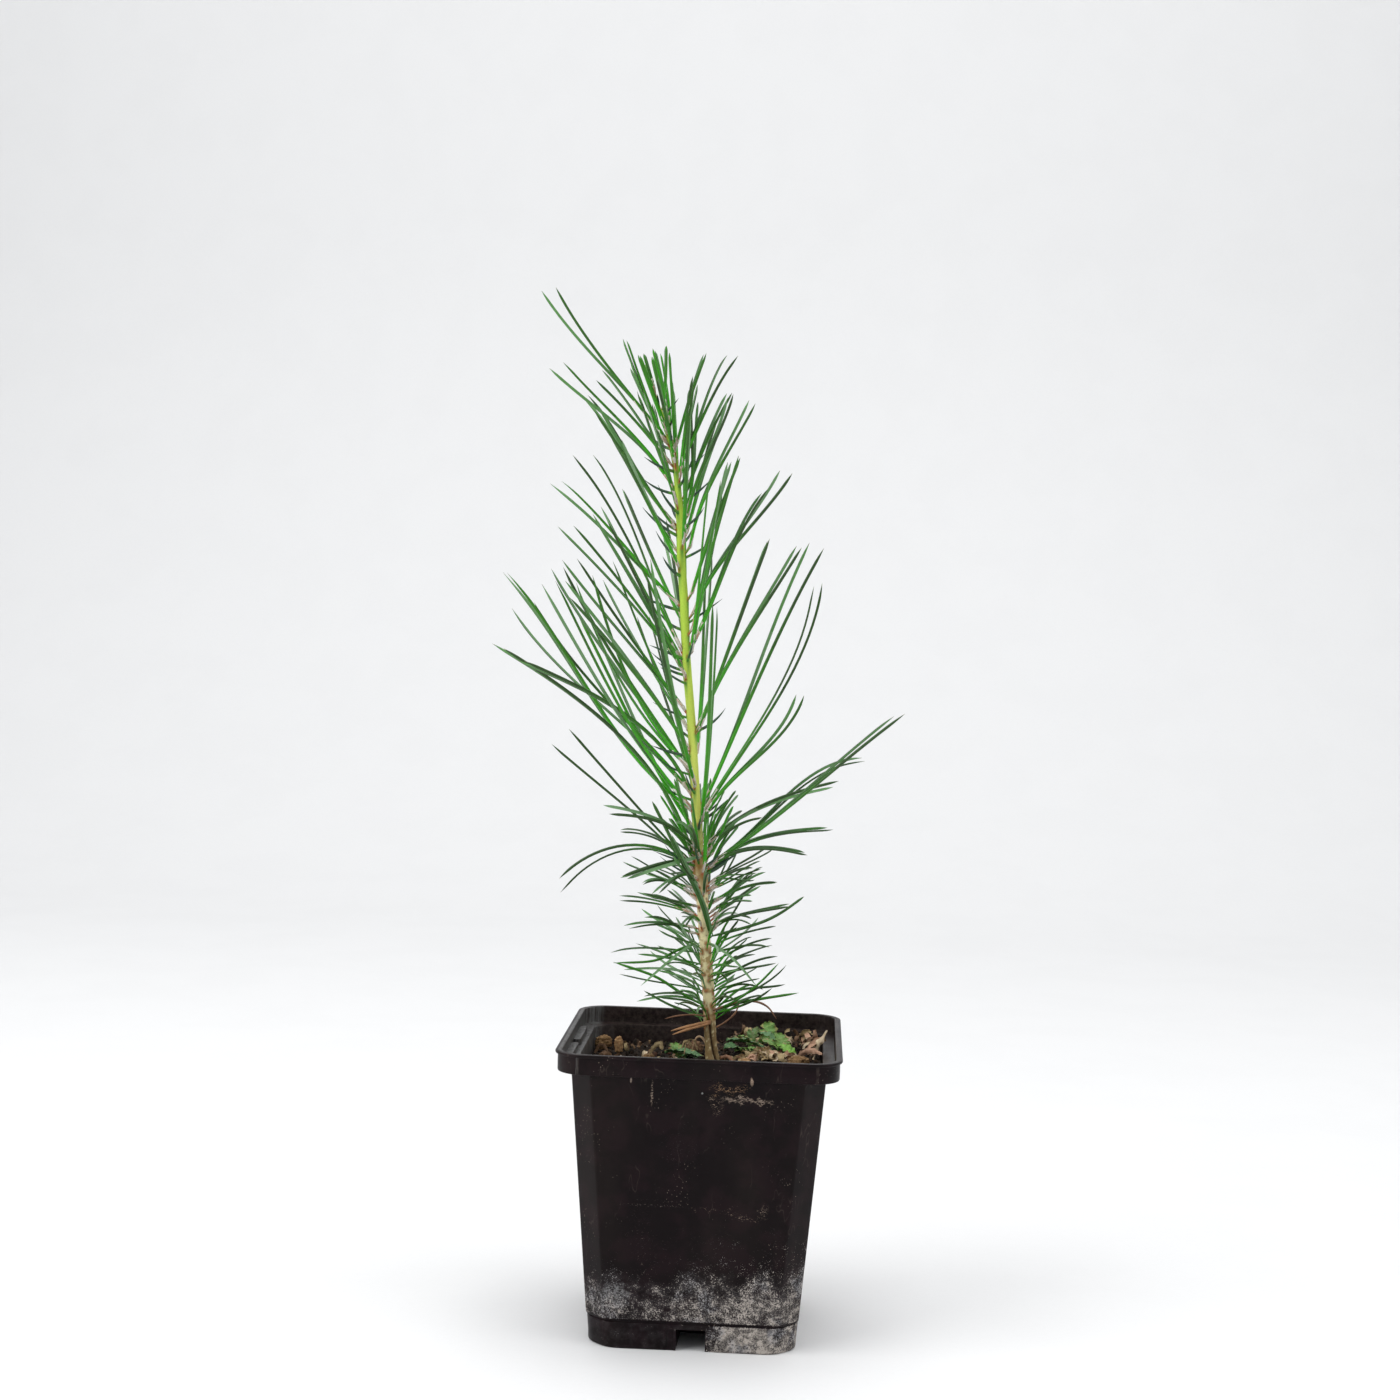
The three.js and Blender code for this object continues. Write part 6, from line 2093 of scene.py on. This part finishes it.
class PINE_OT_foliage(bpy.types.Operator):
    """Make the needles and sheaths of every mass of foliage"""

    bl_idname = "pine.foliage"
    bl_label = "Foliage"

    def execute(self, context):
        settings = context.scene.pine_foliage
        needles, sheaths = foliage_materials(settings), sheath_materials(settings)
        masses = {}
        for index, (mass, zone, bundle) in enumerate(foliage_bundles()):
            green, feet = masses.setdefault(mass, (Skin(), Skin()))
            self.grow(green, feet, zone, bundle, index, settings.thickness)
        self.placed(masses["short_brush_front"][0], settings.thickness)
        for mass, (green, feet) in masses.items():
            place_piece(mass + "_needles", green, needles, [mass], sharp=38)
            if feet.count:
                place_piece(mass + "_sheaths", feet, sheaths)
        return {"FINISHED"}

    def strayed(self, bundle, draw):
        """A bundle that bends a little off its line, as the small needles low on the trunk do."""
        sway, bend, twist = (draw() - 0.5 for _ in range(3))
        root, middle, tip = bundle["lift"]
        return {
            **bundle,
            "sway": bundle["sway"] + STRAY["sway"] * sway,
            "lift": [root, middle + 0.5 * STRAY["bend"] * bend, tip + STRAY["bend"] * (bend + 0.5 * twist)],
            "length": bundle["length"] * lerp(*STRAY["length"], draw()),
        }

    def placed(self, green, thickness):
        """The needles placed one by one, low on the trunk and across it."""
        for points, half, facing, step in PLACED:
            line = smooth_line(points, ROUTE_STEPS + 1)

            def shades(shares):
                return np.full(len(shares), step), np.full(len(shares), 1)

            add_needle(green, line, np.array((0.0, facing, 0.0)), half, thickness, 0.4, shades, "long")

    def grow(self, green, feet, zone, bundle, index, thickness):
        """One bundle: its needles, the sheath round their foot and the thin needle under it."""
        draw = seeded(SEEDS["needle"] + 17 * index)
        kind = "short" if "brush" in zone["name"] else "long"
        half = 0.84 * zone["radius"]
        is_pair = zone["sheath"] > 0
        if kind == "short":
            bundle = self.strayed(bundle, seeded(SEEDS["stray"] + index))
        if is_pair and bundle["needles"] == 1:
            bundle = {**bundle, "fork": 1.4, "needles": 2}
        lines = [route(bundle, side, late=True)[0] for side in ((-1, 1) if is_pair else (0,))]
        lines = [rooted(bundle, line) for line in lines]
        along, _, sideways = frame_at(bundle["at"], bundle["turn"])
        fork = math.radians(bundle["fork_turn"])
        flat = math.cos(fork) * along + math.sin(fork) * sideways
        is_fine = "fine" in bundle
        old = FINE_GREEN.get(zone["name"], 0.0) if is_fine else OLD_GREEN.get(zone["name"], 0.2)
        shade = old + 3.6 * draw() ** 1.4
        is_bright = zone["name"] == "crown_tuft" or (is_fine and zone["name"] == "whorl")
        fade = lerp(0.5, 1.3, draw()) * (0.5 if is_bright else 1)
        pale = draw()

        def shades(shares):
            greens = shade + (GREEN_STEPS - 1) * fade * smooth(shares, 0.1, 0.8) * 0.85
            pales = pale * PALE_STEPS + shares
            return (
                np.clip(np.round(greens), 0, GREEN_STEPS - 1).astype(int),
                np.clip(pales, 0, PALE_STEPS - 1).astype(int),
            )

        for number, line in enumerate(lines):
            side = 1 if number == 0 else -1
            own = line - side * (0.1 * half if is_pair else 0) * flat
            twist = math.radians(lerp(-50, 50, draw()))
            add_needle(green, own, side * flat, half, thickness, twist, shades, kind)
        if is_pair:
            middle = (lines[0] + lines[1]) / 2
            add_sheath(feet, middle, share_at(middle, bundle["sheath"] + 1.8), half, flat, draw)
            if zone["from"] >= SHOOT_FROM and not is_fine and draw() < 0.8:
                add_bract(feet, bundle, draw)


# The add-on


class PINE_PT_panel(bpy.types.Panel):
    """Lists the steps that make the plant and their settings"""

    bl_idname = "PINE_PT_panel"
    bl_label = "Potted pine seedling"
    bl_space_type = "VIEW_3D"
    bl_region_type = "UI"
    bl_category = "Pine"

    def draw(self, context):
        for operator, settings in (
            ("pine.stage", "pine_stage"),
            ("pine.pot", "pine_pot"),
            ("pine.soil", "pine_soil"),
            ("pine.litter", "pine_soil"),
            ("pine.trunk", "pine_trunk"),
            ("pine.foliage", "pine_foliage"),
        ):
            box = self.layout.box()
            box.operator(operator)
            group = getattr(context.scene, settings)
            for name in group.bl_rna.properties.keys():
                if name not in {"rna_type", "name"}:
                    box.prop(group, name)


SETTINGS = {
    "pine_stage": PineStageSettings,
    "pine_pot": PinePotSettings,
    "pine_soil": PineSoilSettings,
    "pine_trunk": PineTrunkSettings,
    "pine_foliage": PineFoliageSettings,
}
CLASSES = (
    *SETTINGS.values(),
    PINE_OT_stage,
    PINE_OT_pot,
    PINE_OT_soil,
    PINE_OT_litter,
    PINE_OT_trunk,
    PINE_OT_foliage,
    PINE_PT_panel,
)


def register():
    for item in CLASSES:
        bpy.utils.register_class(item)
    for name, settings in SETTINGS.items():
        setattr(bpy.types.Scene, name, PointerProperty(type=settings))


def unregister():
    for name in SETTINGS:
        delattr(bpy.types.Scene, name)
    for item in reversed(CLASSES):
        bpy.utils.unregister_class(item)


def main():
    register()
    bpy.ops.pine.stage()
    bpy.ops.pine.pot()
    bpy.ops.pine.soil()
    bpy.ops.pine.litter()
    bpy.ops.pine.trunk()
    bpy.ops.pine.foliage()


if __name__ == "__main__":
    main()
